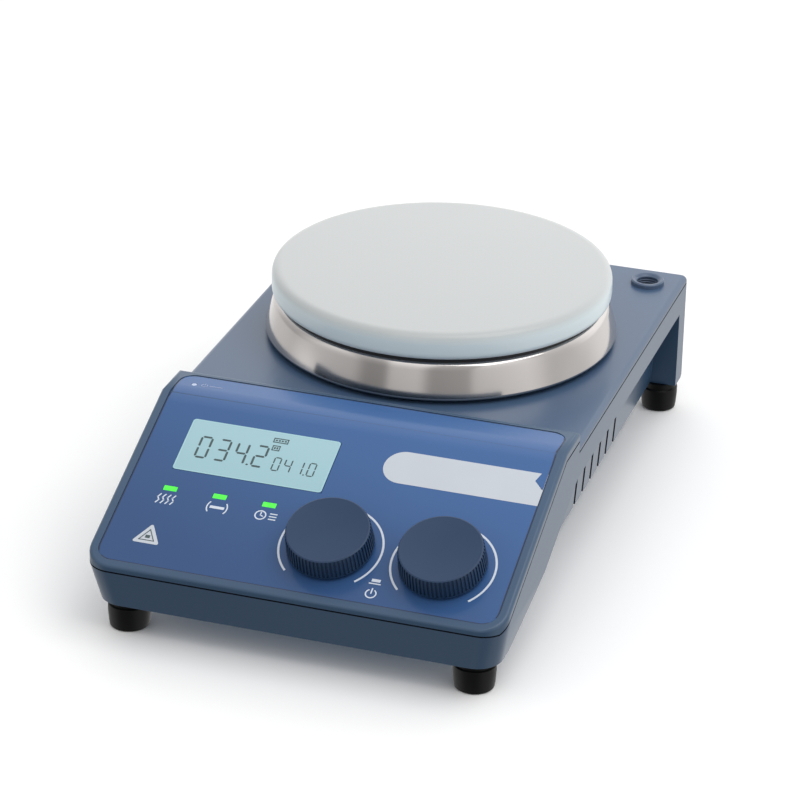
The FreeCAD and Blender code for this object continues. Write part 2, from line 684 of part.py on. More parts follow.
def ribbon_cable():
    """Flat cable from the panel board down to the control board, in an easy S."""
    half = 0.45
    drop = (1.6 - board_top_w) / math.cos(slope)
    middle = [(-79.2, 32.0), (-77.0, 28.5), (-74.8, 25.0)]
    rear_side = [(-80 + half, slope_z(-80 + half, drop))]
    rear_side += [(y + half, z) for y, z in middle] + [(-74 + half, board_z + 1.6)]
    front_side = [(-80 - half, slope_z(-80 - half, drop))]
    front_side += [(y - half, z) for y, z in middle] + [(-74 - half, board_z + 1.6)]
    add("ribbon_cable", side_profile(front_side + rear_side[::-1], -28, -10))


# ---- rear connectors -------------------------------------------------------
def rear_plate_screw_places():
    return [(x, z) for x in (-58, 63.5) for z in (17.0, 41.0)]


def rear_connectors():
    y0, y1 = rear_wall_y, panel_y
    plate = box(-62, 67, y0, y1, 14.0, 44.0)
    tools = [cylinder_y(x, z, y0 - 1, y1 + 1, 1.7) for x, z in rear_plate_screw_places()]
    tools.append(box(inlet_x - 13.8, inlet_x + 13.8, y0 - 1, y1 + 1, 16.6, 41.2))
    tools.append(box(rocker_x - 9.6, rocker_x + 9.6, y0 - 1, y1 + 1,
                     connector_z - 6.6, connector_z + 6.6))
    tools.append(cylinder_y(sensor_x, connector_z, y0 - 1, y1 + 1, 6.0))
    tools.append(box(serial_x - 10, serial_x + 10, y0 - 1, y1 + 1,
                     connector_z - 5.4, connector_z + 5.4))
    add("rear_plate", cut(plate, tools))
    mouth_z0, mouth_z1 = 24.8, 40.4
    flange = box(inlet_x - 15.5, inlet_x + 15.5, y1, y1 + 2.6, 16.2, 43.0)
    body = box(inlet_x - 13.6, inlet_x + 13.6, y1 - 20, y1, 16.8, 41.0)
    inlet = flange.fuse(body)
    mouth = box(inlet_x - 12, inlet_x + 12, y1 - 13.9, y1 + 4, mouth_z0, mouth_z1)
    corner = [e for e in mouth.Edges if e.BoundBox.YLength > 10 and e.BoundBox.ZMax > mouth_z1 - 1]
    mouth = mouth.makeChamfer(3.6, corner)
    drawer_slot = box(inlet_x - 11.2, inlet_x + 11.2, y1 - 18, y1 + 4, 18.2, 23.2)
    inlet = cut(inlet, [mouth, drawer_slot])
    add("mains_inlet", inlet)
    pins = []
    for dx, dz in ((-7, -2.0), (0, 2.2), (7, -2.0)):
        z = (mouth_z0 + mouth_z1) / 2 + dz
        pins.append(box(inlet_x + dx - 1, inlet_x + dx + 1, y1 - 13.9, y1 - 2.8,
                        z - 2, z + 2))
    add("inlet_pins", Part.makeCompound(pins))
    drawer = box(inlet_x - 11.0, inlet_x + 11.0, y1 - 17.5, y1 + 2.6, 18.4, 23.0)
    drawer = drawer.fuse(box(inlet_x - 3, inlet_x + 3, y1 + 2.5, y1 + 3.6, 19.5, 21.9))
    drawer = drawer.cut(box(inlet_x - 10.2, inlet_x + 10.2, y1 - 16.7, y1 - 2, 19.2, 30))
    drawer = drawer.fuse(box(inlet_x - 0.6, inlet_x + 0.6, y1 - 17, y1 - 1.5, 18.8, 22.9))
    add("fuse_drawer", drawer.removeSplitter())
    fuses = []
    for side in (-1, 1):
        fuses.append(box(inlet_x + side * 5.4 - 4.4, inlet_x + side * 5.4 + 4.4,
                         y1 - 14.6, y1 - 4.6, 19.2, 22.8))
    add("fuses", Part.makeCompound(fuses))

    housing = box(rocker_x - 10.6, rocker_x + 10.6, y1, y1 + 1.6,
                  connector_z - 7.6, connector_z + 7.6)
    housing = housing.fuse(box(rocker_x - 9.4, rocker_x + 9.4, y1 - 12, y1,
                               connector_z - 6.4, connector_z + 6.4))
    hollow = box(rocker_x - 8.6, rocker_x + 8.6, y1 - 8.5, y1 + 3,
                 connector_z - 5.6, connector_z + 5.6)
    pivot_hole = cylinder(rocker_x, y1 - 1.0, connector_z - 6.35, connector_z + 6.35, 1.05)
    add("rocker_housing", cut(housing, [hollow, pivot_hole]))
    add("power_rocker", rocker_button())

    shell = cylinder_y(sensor_x, connector_z, y1, y1 + 2.0, 7.4)
    shell = shell.fuse(cylinder_y(sensor_x, connector_z, y1 - 9, y1, 5.9))
    shell = shell.cut(cylinder_y(sensor_x, connector_z, y1 - 6, y1 + 3, 4.6))
    add("sensor_socket_shell", shell)
    insert = cylinder_y(sensor_x, connector_z, y1 - 6, y1 + 1.2, 4.55)
    holes = []
    for i in range(5):
        a = math.radians(-54 + 72 * i)
        holes.append(cylinder_y(sensor_x + 2.6 * math.cos(a), connector_z + 2.6 * math.sin(a),
                                y1 - 5, y1 + 2, 0.5))
    add("sensor_socket_insert", cut(insert, holes))

    serial = box(serial_x - 15.4, serial_x + 15.4, y1, y1 + 1.0,
                 connector_z - 6.2, connector_z + 6.2)
    serial = serial.fuse(d_shape(serial_x, connector_z, y1 - 8, y1 + 5.6, 8.6, 4.6))
    serial = serial.cut(d_shape(serial_x, connector_z, y1 - 4, y1 + 6, 8.1, 4.1))
    insert = d_shape(serial_x, connector_z, y1 - 4, y1 + 5.2, 8.05, 4.05)
    holes = []
    for row, count in ((1, 5), (-1, 4)):
        for i in range(count):
            holes.append(cylinder_y(serial_x + (i - (count - 1) / 2) * 2.77,
                                    connector_z + row * 1.42, y1, y1 + 7, 0.55))
    add("serial_socket_insert", cut(insert, holes))
    for side in (-1, 1):
        post = Part.makePolygon(
            [V(serial_x + side * 12.5 + 2.6 * math.cos(math.radians(60 * i)), y1 + 1.0,
               connector_z + 2.6 * math.sin(math.radians(60 * i))) for i in range(7)])
        post = Part.Face(post).extrude(V(0, 4.6, 0))
        post = post.cut(cylinder_y(serial_x + side * 12.5, connector_z, y1 + 0.5, y1 + 7, 1.4))
        serial = serial.fuse(post)
    add("serial_socket_shell", serial)


def d_shape(x, z, y0, y1, half_w, half_h):
    """The D outline of a nine-pole connector, wider along its top row."""
    corners = [V(x - half_w, y0, z + half_h), V(x + half_w, y0, z + half_h),
               V(x + half_w - 1.4, y0, z - half_h), V(x - half_w + 1.4, y0, z - half_h)]
    return Part.Face(Part.makePolygon(corners + corners[:1])).extrude(V(0, y1 - y0, 0))


def rocker_button():
    """A rocker on an upright pin; one half stands pressed in while it is at rest."""
    face = [V(-7.7, 1.4, 0), V(0, 2.6, 0), V(7.7, 1.4, 0), V(7.4, -0.8, 0),
            V(3.0, -5.0, 0), V(-3.0, -5.0, 0), V(-7.4, -0.8, 0)]
    corners = [V(p.x, p.y, -5.3) for p in face]
    button = Part.Face(Part.makePolygon(corners + corners[:1])).extrude(V(0, 0, 10.6))
    button = button.fuse(cylinder(0, 0, -6.3, 6.3, 1.0))
    button.rotate(V(0, 0, 0), V(0, 0, 1), -rocker_tilt)
    button.translate(V(rocker_x, panel_y - 1.0, connector_z))
    return button


# ---- feet and fasteners ----------------------------------------------------
def feet_and_screws():
    names = {(-1, 0): "front_left_foot", (1, 0): "front_right_foot",
             (-1, 1): "rear_left_foot", (1, 1): "rear_right_foot"}
    screws = []
    for side in (-1, 1):
        for row, (place, z_top, radius) in enumerate((
                (front_foot, casing_floor_z, foot_radius),
                (rear_foot, casing_floor_z, rear_foot_radius))):
            x, y = side * place[0], place[1]
            foot = revolve(
                [(0, 0), (radius - 1.2, 0), (radius, 1.2), (radius, 7.0),
                 (radius - 0.8, 7.6), (radius - 0.8, z_top), (0, z_top)], x, y)
            foot = foot.cut(cylinder(x, y, -1, 4.5, 3.8))
            foot = foot.cut(cylinder(x, y, 0, 20, 2.0))
            add(names[(side, row)], foot)
            shank = cylinder(x, y, 4.4, z_top + 4.5, 1.9)
            screws.append(shank.fuse(cylinder(x, y, 2.3, 4.5, 3.6)))
    add("foot_screws", Part.makeCompound(screws))
    covers = []
    for x, y, z_top in cover_posts():
        shank = cylinder(x, y, casing_floor_z + 2.9, z_top + 9, 1.25)
        covers.append(shank.fuse(cylinder(x, y, casing_floor_z + 0.6, casing_floor_z + 3, 2.9)))
    add("cover_screws", Part.makeCompound(covers))


def rod_boss():
    insert = cylinder(boss_x, boss_y, rod_socket_z, deck_z, boss_radius - 1.2)
    collar = cylinder(boss_x, boss_y, deck_z, deck_z + 2.0, boss_radius)
    top = [e for e in collar.Edges if e.BoundBox.ZMin > deck_z + 1.9]
    collar = collar.makeFillet(0.5, top)
    boss = insert.fuse(collar)
    return boss.cut(cylinder(boss_x, boss_y, deck_z + 2.0 - rod_thread_depth, deck_z + 3,
                             rod_thread_radius))


def pan_head_screw(thickness):
    """A small pan-head screw, seated with its head at z = 0 and its shank below."""
    shank = cylinder(0, 0, -thickness - 5.4, 0.2, 1.2)
    head = cylinder(0, 0, 0, 1.7, 2.6)
    top = [e for e in head.Edges if e.BoundBox.ZMin > 1.6]
    head = head.makeFillet(0.6, top)
    return shank.fuse(head).cut(box(-1.9, 1.9, -0.35, 0.35, 1.0, 3))


def small_screws():
    """The identical screws of both boards and of the rear plate."""
    screws = []
    for x, y in board_posts():
        screw = pan_head_screw(1.6)
        screw.translate(V(x, y, board_z + 1.6))
        screws.append(screw)
    for x, y in panel_screws():
        screw = pan_head_screw(1.6)
        screw.rotate(V(0, 0, 0), V(1, 0, 0), 180)
        screw.translate(V(x, y, board_top_w - 1.6))
        screws.append(on_panel(screw))
    for x, z in rear_plate_screw_places():
        screw = pan_head_screw(1.6)
        screw.rotate(V(0, 0, 0), V(1, 0, 0), -90)
        screw.translate(V(x, panel_y, z))
        screws.append(screw)
    add("small_screws", Part.makeCompound(screws))


# ---- assembly --------------------------------------------------------------
add("base_casing", base_casing())
add("deck_cover", deck_cover())
add("control_bezel", control_bezel())
control_panel()
encoder("heat", knob_x[0])
encoder("stir", knob_x[1])
heating_plate()
stirring_drive()
electronics()
rear_connectors()
feet_and_screws()
small_screws()
ribbon_cable()
add("rod_boss", rod_boss())

os.makedirs("parts", exist_ok=True)
for name, shape in parts.items():
    shape.exportStep("parts/" + name + ".step")
    solids = len(shape.Solids)
    print(name, "solids", solids, "valid", shape.isValid(), "volume", round(shape.Volume, 1))
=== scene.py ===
# %% [markdown]
# A laboratory magnetic stirrer stands on four rubber feet. A motor under the round white
# plate turns two magnets, and those drag a stirring bar round in the flask above.
# Every measure is in metres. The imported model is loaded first: it fixes where each piece
# is, so the pieces made below take their places from it instead of being fitted by eye.

# %% Load the fixed model
import math
import bpy
import bmesh
import json
from mathutils import Matrix, Vector

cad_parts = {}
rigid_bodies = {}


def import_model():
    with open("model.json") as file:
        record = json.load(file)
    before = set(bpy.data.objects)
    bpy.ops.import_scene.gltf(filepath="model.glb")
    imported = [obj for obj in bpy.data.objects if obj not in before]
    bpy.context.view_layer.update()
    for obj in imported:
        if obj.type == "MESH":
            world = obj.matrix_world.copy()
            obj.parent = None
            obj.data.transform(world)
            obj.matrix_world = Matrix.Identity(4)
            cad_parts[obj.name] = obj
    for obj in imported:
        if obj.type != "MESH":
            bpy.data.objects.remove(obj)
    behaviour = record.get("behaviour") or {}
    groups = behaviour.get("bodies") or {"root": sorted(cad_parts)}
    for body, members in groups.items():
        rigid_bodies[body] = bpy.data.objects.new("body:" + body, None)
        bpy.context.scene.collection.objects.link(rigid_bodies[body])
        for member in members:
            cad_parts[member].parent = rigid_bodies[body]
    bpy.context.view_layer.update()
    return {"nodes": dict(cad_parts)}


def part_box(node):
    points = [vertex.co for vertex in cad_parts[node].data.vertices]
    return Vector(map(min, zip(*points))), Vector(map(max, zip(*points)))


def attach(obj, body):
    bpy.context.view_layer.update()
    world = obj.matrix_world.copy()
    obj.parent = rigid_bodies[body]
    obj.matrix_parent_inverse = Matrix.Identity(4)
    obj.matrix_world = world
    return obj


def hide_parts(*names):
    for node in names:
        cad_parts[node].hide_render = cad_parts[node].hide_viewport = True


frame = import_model()
nodes = frame["nodes"]
MM = 0.001

# %% [markdown]
# The control panel is a flat slope. It is easiest to draw things flat, with x across the
# panel, u up the slope from its front edge and w straight out of it, and then to tip the
# finished piece into place. The tilt comes from the front and rear edge of that slope.

# %% The slope of the control panel
FRONT_Y, NOSE_Z = -134.0, 29.6
BEND_Y, TOP_Z = -53.6, 63.5
SLOPE = math.atan2(TOP_Z - NOSE_Z, BEND_Y - FRONT_Y)
TO_PANEL = (Matrix.Translation(Vector((0, FRONT_Y, NOSE_Z)) * MM)
            @ Matrix.Rotation(SLOPE, 4, "X"))
FILM_TOP = -0.25
KNOB_X, KNOB_UP = (7.8, 50.5), 26.2
PLATE_Y = 45.8
print("panel slope:", round(math.degrees(SLOPE), 2), "degrees")

# %% [markdown]
# An edit-mode operator acts on everything that is selected. So each piece is begun with
# nothing selected, and faces or edges are picked in code by where they are. A finished
# piece keeps its place in its mesh, and its object sits at the origin like a CAD node's.


# %% Selecting, beginning and ending a piece
def deselect():
    if bpy.context.object and bpy.context.object.mode != "OBJECT":
        bpy.ops.object.mode_set(mode="OBJECT")
    for other in bpy.context.view_layer.objects:
        other.select_set(False)


def only(piece):
    deselect()
    piece.select_set(True)
    bpy.context.view_layer.objects.active = piece
    return piece


def pick(piece, wanted, kind="FACE"):
    """In edit mode, select the faces, edges or vertices for which wanted(place, normal) holds.

    An edge has no normal of its own, so wanted gets the way that the edge runs instead.
    """
    bpy.ops.mesh.select_mode(type=kind)
    bpy.ops.mesh.select_all(action="DESELECT")
    shape = bmesh.from_edit_mesh(piece.data)
    group = {"FACE": shape.faces, "EDGE": shape.edges, "VERT": shape.verts}[kind]
    count = 0
    for item in group:
        if kind == "FACE":
            place, normal = item.calc_center_median(), item.normal
        elif kind == "EDGE":
            first, last = item.verts[0].co, item.verts[1].co
            place, normal = (first + last) / 2, last - first
        else:
            place, normal = item.co, item.normal
        if wanted(place, normal):
            item.select_set(True)
            count += 1
    bmesh.update_edit_mesh(piece.data)
    return count


def finish_piece(piece, name, body, to=None, smooth=35, replaces=(), flat=False):
    """Close the piece: tidy normals, apply its place, shade it, and hand it to its body.

    With flat, the large faces keep an even shade and only the narrow roundings blend.
    """
    only(piece)
    bpy.ops.object.transform_apply(location=True, rotation=True, scale=True)
    bpy.ops.object.mode_set(mode="EDIT")
    bpy.ops.mesh.select_all(action="SELECT")
    bpy.ops.mesh.remove_doubles(threshold=1e-7)
    bpy.ops.mesh.normals_make_consistent(inside=False)
    bpy.ops.object.mode_set(mode="OBJECT")
    if to is not None:
        piece.data.transform(to)
    bpy.ops.object.shade_smooth_by_angle(angle=math.radians(smooth))
    if flat:
        weigh = piece.modifiers.new("even faces", "WEIGHTED_NORMAL")
        weigh.keep_sharp, weigh.weight = True, 80
        bpy.ops.object.modifier_apply(modifier=weigh.name)
    piece.name = piece.data.name = name
    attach(piece, body)
    if replaces:
        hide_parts(*replaces)
    return piece


# %% [markdown]
# Many pieces here are turned: knobs, plate, pan, feet. By hand that is a ring of edges
# extruded upwards again and again, widened or narrowed each time, which follows the
# outline of the piece. The helper below does those steps for a list of radius and height.

# %% Turning a piece from its outline
def turned(outline, segments=128, at=(0, 0)):
    """Extrude a ring along (radius, height) points in millimetres. A radius of 0 closes it."""
    deselect()
    ring = [p for p in outline if p[0] > 0]
    closed_low, closed_high = outline[0][0] == 0, outline[-1][0] == 0
    centre = Vector((at[0] * MM, at[1] * MM, 0))
    r0, z0 = ring[0]
    bpy.ops.mesh.primitive_circle_add(vertices=segments, radius=r0 * MM, fill_type="NOTHING",
                                      location=(centre.x, centre.y, z0 * MM))
    piece = bpy.context.object
    bpy.ops.object.mode_set(mode="EDIT")
    bpy.ops.mesh.select_all(action="SELECT")
    if closed_low:
        bpy.ops.mesh.edge_face_add()
        bpy.ops.mesh.select_mode(type="EDGE")
    for (r1, z1), (r2, z2) in zip(ring, ring[1:]):
        bpy.ops.mesh.extrude_edges_move(TRANSFORM_OT_translate={"value": (0, 0, (z2 - z1) * MM)})
        if r2 != r1:
            k = r2 / r1
            bpy.ops.transform.resize(value=(k, k, 1),
                                     center_override=(centre.x, centre.y, z2 * MM))
    if closed_high:
        bpy.ops.mesh.edge_face_add()
    bpy.ops.object.mode_set(mode="OBJECT")
    return piece


ARC_STEPS = 6


def rounded(outline, corners):
    """Replace chosen corners of an outline with short arcs: {index: radius}."""
    done = []
    for i, (r, z) in enumerate(outline):
        if i not in corners:
            done.append((r, z))
            continue
        here, radius = Vector((r, z)), corners[i]
        before, after = Vector(outline[i - 1]) - here, Vector(outline[i + 1]) - here
        half = before.angle(after) / 2
        cut_back = min(radius / math.tan(half), before.length * 0.49, after.length * 0.49)
        a, b = here + before.normalized() * cut_back, here + after.normalized() * cut_back
        for step in range(ARC_STEPS + 1):
            t = step / ARC_STEPS
            point = a * (1 - t) ** 2 + here * 2 * t * (1 - t) + b * t ** 2
            done.append((point.x, point.y))
    return done


print("turning helper ready")

# %% [markdown]
# A box is the other thing that repeats: a cube primitive, given its size and place. Flat
# panel prints use the same helper, very thin. Soft edges come from a bevel modifier that is
# applied, and a piece that keeps its CAD shape starts from a copy of its node's mesh.


# %% Boxes, soft edges, joining and copying
def slab(x0, x1, y0, y1, z0, z1):
    deselect()
    bpy.ops.mesh.primitive_cube_add(size=1, location=(0, 0, 0))
    piece = bpy.context.object
    piece.scale = Vector((x1 - x0, y1 - y0, z1 - z0)) * MM
    piece.location = Vector((x0 + x1, y0 + y1, z0 + z1)) * MM / 2
    bpy.ops.object.transform_apply(location=True, rotation=True, scale=True)
    return piece


def soften(piece, edge, segments=2, angle=30):
    only(piece)
    bevel = piece.modifiers.new("soft edges", "BEVEL")
    bevel.width = edge * MM
    bevel.segments = segments
    bevel.limit_method = "ANGLE"
    bevel.angle_limit = math.radians(angle)
    bevel.use_clamp_overlap = False
    bpy.ops.object.modifier_apply(modifier=bevel.name)


def joined(pieces):
    """Several pieces become one object, each keeping its own shape."""
    deselect()
    for piece in pieces:
        piece.select_set(True)
    bpy.context.view_layer.objects.active = pieces[0]
    if len(pieces) > 1:
        bpy.ops.object.join()
    return bpy.context.object


def cad_copy(name):
    """A copy of a CAD node's mesh with its loose triangles merged back into whole faces."""
    deselect()
    piece = bpy.data.objects.new("copy", nodes[name].data.copy())
    piece.data.materials.clear()
    bpy.context.scene.collection.objects.link(piece)
    only(piece)
    bpy.ops.object.mode_set(mode="EDIT")
    bpy.ops.mesh.select_all(action="SELECT")
    bpy.ops.mesh.remove_doubles(threshold=2e-6)
    bpy.ops.mesh.dissolve_limited(angle_limit=math.radians(0.6))
    bpy.ops.object.mode_set(mode="OBJECT")
    return piece


print("box helpers ready")

# %% [markdown]
# A finish is a material. Shader maths reads best as ordinary arithmetic, so a small class
# wraps a socket, and each operator on it adds the matching Math node. Every other node is
# made by one method that takes its type, its settings and what goes into its sockets.


# %% Writing shader maths as Python
class Wire:
    def __init__(self, finish, socket):
        self.finish, self.socket = finish, socket

    def maths(self, operation, *others):
        return self.finish.node("ShaderNodeMath", {"operation": operation}, *others)

    def __add__(self, other): return self.maths("ADD", self, other)
    def __radd__(self, other): return self.maths("ADD", other, self)
    def __sub__(self, other): return self.maths("SUBTRACT", self, other)
    def __rsub__(self, other): return self.maths("SUBTRACT", other, self)
    def __mul__(self, other): return self.maths("MULTIPLY", self, other)
    def __rmul__(self, other): return self.maths("MULTIPLY", other, self)


class Tree:
    def __init__(self, owner, shader):
        owner.use_nodes = True
        self.tree = owner.node_tree
        self.shader = self.tree.nodes[shader]

    def node(self, kind, settings, *values, output=0, **named):
        made = self.tree.nodes.new(kind)
        for key, value in settings.items():
            setattr(made, key, value)
        for key, value in [*enumerate(values), *named.items()]:
            self.put(value, made.inputs[key if isinstance(key, int) else key.replace("_", " ")])
        return Wire(self, made.outputs[output])

    def put(self, value, socket):
        """Link a wire into a socket, or set a fixed value on it."""
        if isinstance(value, Wire):
            self.tree.links.new(value.socket, socket)
        else:
            socket.default_value = value

    def feed(self, socket, wire):
        self.put(wire, self.shader.inputs[socket])

    def noise(self, scale, detail=3.0, rough=0.5, stretch=(1, 1, 1)):
        spread = self.node("ShaderNodeMapping", {}, Vector=self.place, Scale=stretch)
        return self.node("ShaderNodeTexNoise", {}, Vector=spread, Scale=scale, Detail=detail,
                         Roughness=rough)

    def mix(self, amount, a, b):
        """Blend two colours with a Mix node; a Math node would turn them grey."""
        made = self.tree.nodes.new("ShaderNodeMix")
        made.data_type = "RGBA"
        for index, value in ((0, amount), (6, a), (7, b)):
            self.put(value, made.inputs[index])
        return Wire(self, made.outputs[2])

    def bump(self, height, strength, distance):
        return self.node("ShaderNodeBump", {}, Strength=strength, Distance=distance * MM,
                         Height=height)

    def ramp(self, wire, low, high, start=0.0, end=1.0):
        """A smooth step from start to end while the wire goes from low to high."""
        return self.node("ShaderNodeMapRange", {"interpolation_type": "SMOOTHSTEP"},
                         wire, low, high, start, end)

    def parts(self, vector):
        return [self.node("ShaderNodeSeparateXYZ", {}, vector, output=i) for i in range(3)]


class Finish(Tree):
    def __init__(self, name, **fixed):
        self.material = bpy.data.materials.new(name)
        super().__init__(self.material, "Principled BSDF")
        for socket, value in fixed.items():
            self.shader.inputs[socket.replace("_", " ")].default_value = value
        self.place = self.node("ShaderNodeTexCoord", {}, output="Object")


def shade(r, g, b):
    """A colour given as 0 to 255 on a screen, turned into the linear light Blender uses."""
    def linear(v):
        v /= 255
        return v / 12.92 if v <= 0.04045 else ((v + 0.055) / 1.055) ** 2.4
    return (linear(r), linear(g), linear(b), 1.0)


print("shader helper ready")

# %% [markdown]
# The casing has a satin blue-grey coating over moulded metal. Up close it has a very fine
# orange-peel texture, and its gloss wanders a little from place to place. Fine noise drives a
# small bump, and slow noise drives roughness.

# %% Casing coating and panel film
def casing_finish(name, colour, deep):
    f = Finish(name, Specular_IOR_Level=0.5)
    slow = f.noise(9.0, 2.0)
    peel = f.noise(2600.0, 2.0)
    f.feed("Base Color", f.mix(slow, shade(*deep), shade(*colour)))
    f.feed("Roughness", 0.24 + slow * 0.08 + peel * 0.04)
    f.feed("Normal", f.bump(peel, 0.08, 0.02))
    return f.material


def film_finish():
    """Printed polyester film: royal blue, smooth, with painted light making it a little lighter
    up and to the right.
    """
    f = Finish("panel film", Specular_IOR_Level=0.4)
    x, y, _ = f.parts(f.place)
    # Painted light: the blue is mixed lighter up the slope and to the right, where more light
    # falls.
    up = f.ramp(y + x * 0.35, -0.150, -0.040)
    slow, grain = f.noise(14.0, 2.0), f.noise(700.0, 2.0)
    base = f.mix(up, shade(48, 79, 124), shade(64, 103, 158))
    f.feed("Base Color", f.mix(slow * 0.3, base, shade(54, 84, 129)))
    f.feed("Roughness", 0.17 + slow * 0.06 + grain * 0.03)
    return f.material


CASING = casing_finish("casing coating", (58, 85, 113), (52, 78, 105))
# The deck has the same coating as the casing; its lighter colour is painted light on the top that
# faces up.
LIT_DECK = casing_finish("deck coating", (71, 94, 123), (64, 86, 114))
FILM = film_finish()
# Painted shade: a darker blue along the film's edge, where it meets the bezel.
FILM_EDGE_SHADE = casing_finish("film edge shade", (38, 52, 84), (34, 46, 76))

# %% [markdown]
# The plate is white glass-ceramic: bright, smooth and slightly cool. Its rounded side is painted
# lighter and cooler than its top, as painted light. The pan under it is spun stainless steel, so
# its polish has fine rings that run round it. The rings are a noise that is stretched along the
# circle.

# %% Plate and pan finishes
def plate_finish():
    f = Finish("white plate", Coat_Weight=0.2, Coat_Roughness=0.10, Specular_IOR_Level=0.45)
    _, _, z = f.parts(f.place)
    # Painted light: below the top, the rounded side is mixed to a lighter, cooler colour.
    edge = f.ramp(z, 0.0815, 0.0858, 1.0, 0.0)
    cloud, speck = f.noise(30.0, 3.0), f.noise(1500.0, 2.0)
    side = f.mix(edge, shade(182, 185, 185), shade(222, 236, 240))
    f.feed("Base Color", f.mix(cloud * 0.15, side, shade(186, 190, 192)))
    f.feed("Roughness", 0.24 + cloud * 0.10 + speck * 0.05)
    f.feed("Normal", f.bump(speck, 0.03, 0.02))
    return f.material


def pan_finish():
    f = Finish("spun steel", Metallic=1.0)
    x, y, z = f.parts(f.place)
    dx, dy = x, y - PLATE_Y * MM
    reach = f.node("ShaderNodeMath", {"operation": "SQRT"}, dx * dx + dy * dy)
    rings = f.node("ShaderNodeCombineXYZ", {}, reach * 900.0, dx * 3.0, z * 900.0)
    fine = f.node("ShaderNodeTexNoise", {}, Vector=rings, Scale=3.0, Detail=4.0)
    cloud = f.noise(26.0, 3.0)
    f.feed("Base Color", f.mix(cloud, shade(190, 185, 182), shade(208, 204, 202)))
    f.feed("Roughness", 0.08 + fine * 0.06 + cloud * 0.06)
    f.feed("Normal", f.bump(fine, 0.12, 0.02))
    return f.material


PLATE, PAN = plate_finish(), pan_finish()

# %% [markdown]
# Moulded plastics, rubbers and metals differ in colour, gloss and grain size, so three
# recipes cover them. Each has its own slow and fine noise, never one flat colour.


# %% Plastic, rubber and metal recipes
def moulded(name, colour, gloss=0.4, grain=1800.0, depth=0.03, lift=10, shine=0.5):
    f = Finish(name, Specular_IOR_Level=shine)
    slow, fine = f.noise(40.0, 2.0), f.noise(grain, 2.0)
    lighter = [min(255, c + lift) for c in colour]
    f.feed("Base Color", f.mix(slow, shade(*colour), shade(*lighter)))
    f.feed("Roughness", gloss + slow * 0.08 + fine * 0.06)
    f.feed("Normal", f.bump(fine, 0.12, depth))
    return f.material


def metal(name, colour, gloss=0.28, stretch=(1, 1, 12), scale=300.0):
    f = Finish(name, Metallic=1.0)
    slow, fine = f.noise(60.0, 2.0), f.noise(scale, 4.0, stretch=stretch)
    darker = [c * 0.86 for c in colour]
    f.feed("Base Color", f.mix(slow, shade(*darker), shade(*colour)))
    f.feed("Roughness", gloss + fine * 0.14)
    f.feed("Normal", f.bump(fine, 0.10, 0.02))
    return f.material


KNOB = moulded("knob plastic", (30, 55, 86), 0.40, 1600.0, 0.02, 7, 0.35)
BLACK_RUBBER = moulded("foot rubber", (5, 6, 6), 0.38, 900.0, 0.05, 3, 0.22)
SEAL_RUBBER = moulded("seal rubber", (26, 26, 28), 0.55, 1200.0, 0.04, 8)
BLACK_PLASTIC = moulded("black plastic", (24, 24, 26), 0.38, 2000.0, 0.03, 8)
ROCKER_PLASTIC = moulded("rocker plastic", (30, 30, 32), 0.24, 2000.0, 0.02, 8)
PRINT = moulded("white print", (206, 214, 226), 0.35, 1500.0, 0.01, 10)
FAINT_PRINT = moulded("faint print", (128, 142, 178), 0.35, 1500.0, 0.01, 8)
BAND = moulded("label band", (190, 196, 204), 0.30, 1500.0, 0.01, 8)
# Painted light: the boss gets a lighter blue, like the deck, for the light on its top.
LIT_BOSS = moulded("boss coating", (76, 93, 118), 0.30, 1500.0, 0.02, 8)
# Painted shade for the seam grooves and the insides of the vents.
SEAM = moulded("seam shadow", (16, 22, 32), 0.60, 1500.0, 0.02, 6, 0.2)
CERAMIC = moulded("heater ceramic", (226, 222, 210), 0.60, 700.0, 0.05, 12)
RIBBON = moulded("ribbon", (138, 142, 146), 0.45, 900.0, 0.03, 14)
STEEL = metal("zinc steel", (196, 197, 200))
DARK_STEEL = metal("dark steel", (132, 134, 138), 0.36)
ALUMINIUM = metal("aluminium", (206, 208, 212), 0.34, (12, 1, 1), 260.0)
NICKEL = metal("nickel", (214, 210, 202), 0.16)
BRASS = metal("plated brass", (210, 178, 112), 0.26)
print("recipes ready")


# %% [markdown]
# A few pieces need a finish of their own. A circuit board has a green mask with copper
# tracks, the windings show round wire, the lamps glow, and the display is pale cyan.

# %% Board, winding, lamp and display finishes
def board_finish():
    f = Finish("circuit board", Coat_Weight=0.4, Coat_Roughness=0.15)
    tracks = f.node("ShaderNodeTexBrick", {"offset": 0.5}, Vector=f.place, Scale=150.0,
                    Mortar_Size=0.05, output=1)
    haze = f.noise(160.0, 4.0)
    f.feed("Base Color", f.mix(tracks, f.mix(haze, shade(16, 74, 44), shade(22, 92, 56)),
                               shade(52, 128, 84)))
    f.feed("Roughness", 0.30 + haze * 0.15)
    f.feed("Normal", f.bump(tracks, 0.20, 0.03))
    return f.material


def winding_finish():
    f = Finish("copper winding", Metallic=0.8)
    wires = f.node("ShaderNodeTexWave", {"bands_direction": "Z"}, Vector=f.place, Scale=420.0,
                   Distortion=0.6, output=1)
    f.feed("Base Color", f.mix(wires, shade(112, 56, 24), shade(206, 122, 66)))
    f.feed("Roughness", 0.28 + wires * 0.15)
    f.feed("Normal", f.bump(wires, 0.6, 0.15))
    return f.material


def fibre_finish():
    f = Finish("insulating fibre", Sheen_Weight=0.2)
    strands, clump = f.noise(700.0, 6.0, 0.7, (1, 6, 1)), f.noise(90.0, 4.0)
    f.feed("Base Color", f.mix(strands, shade(188, 182, 166), shade(236, 232, 220)))
    f.feed("Roughness", 0.85 + clump * 0.1)
    f.feed("Normal", f.bump(strands + clump, 0.5, 0.3))
    return f.material


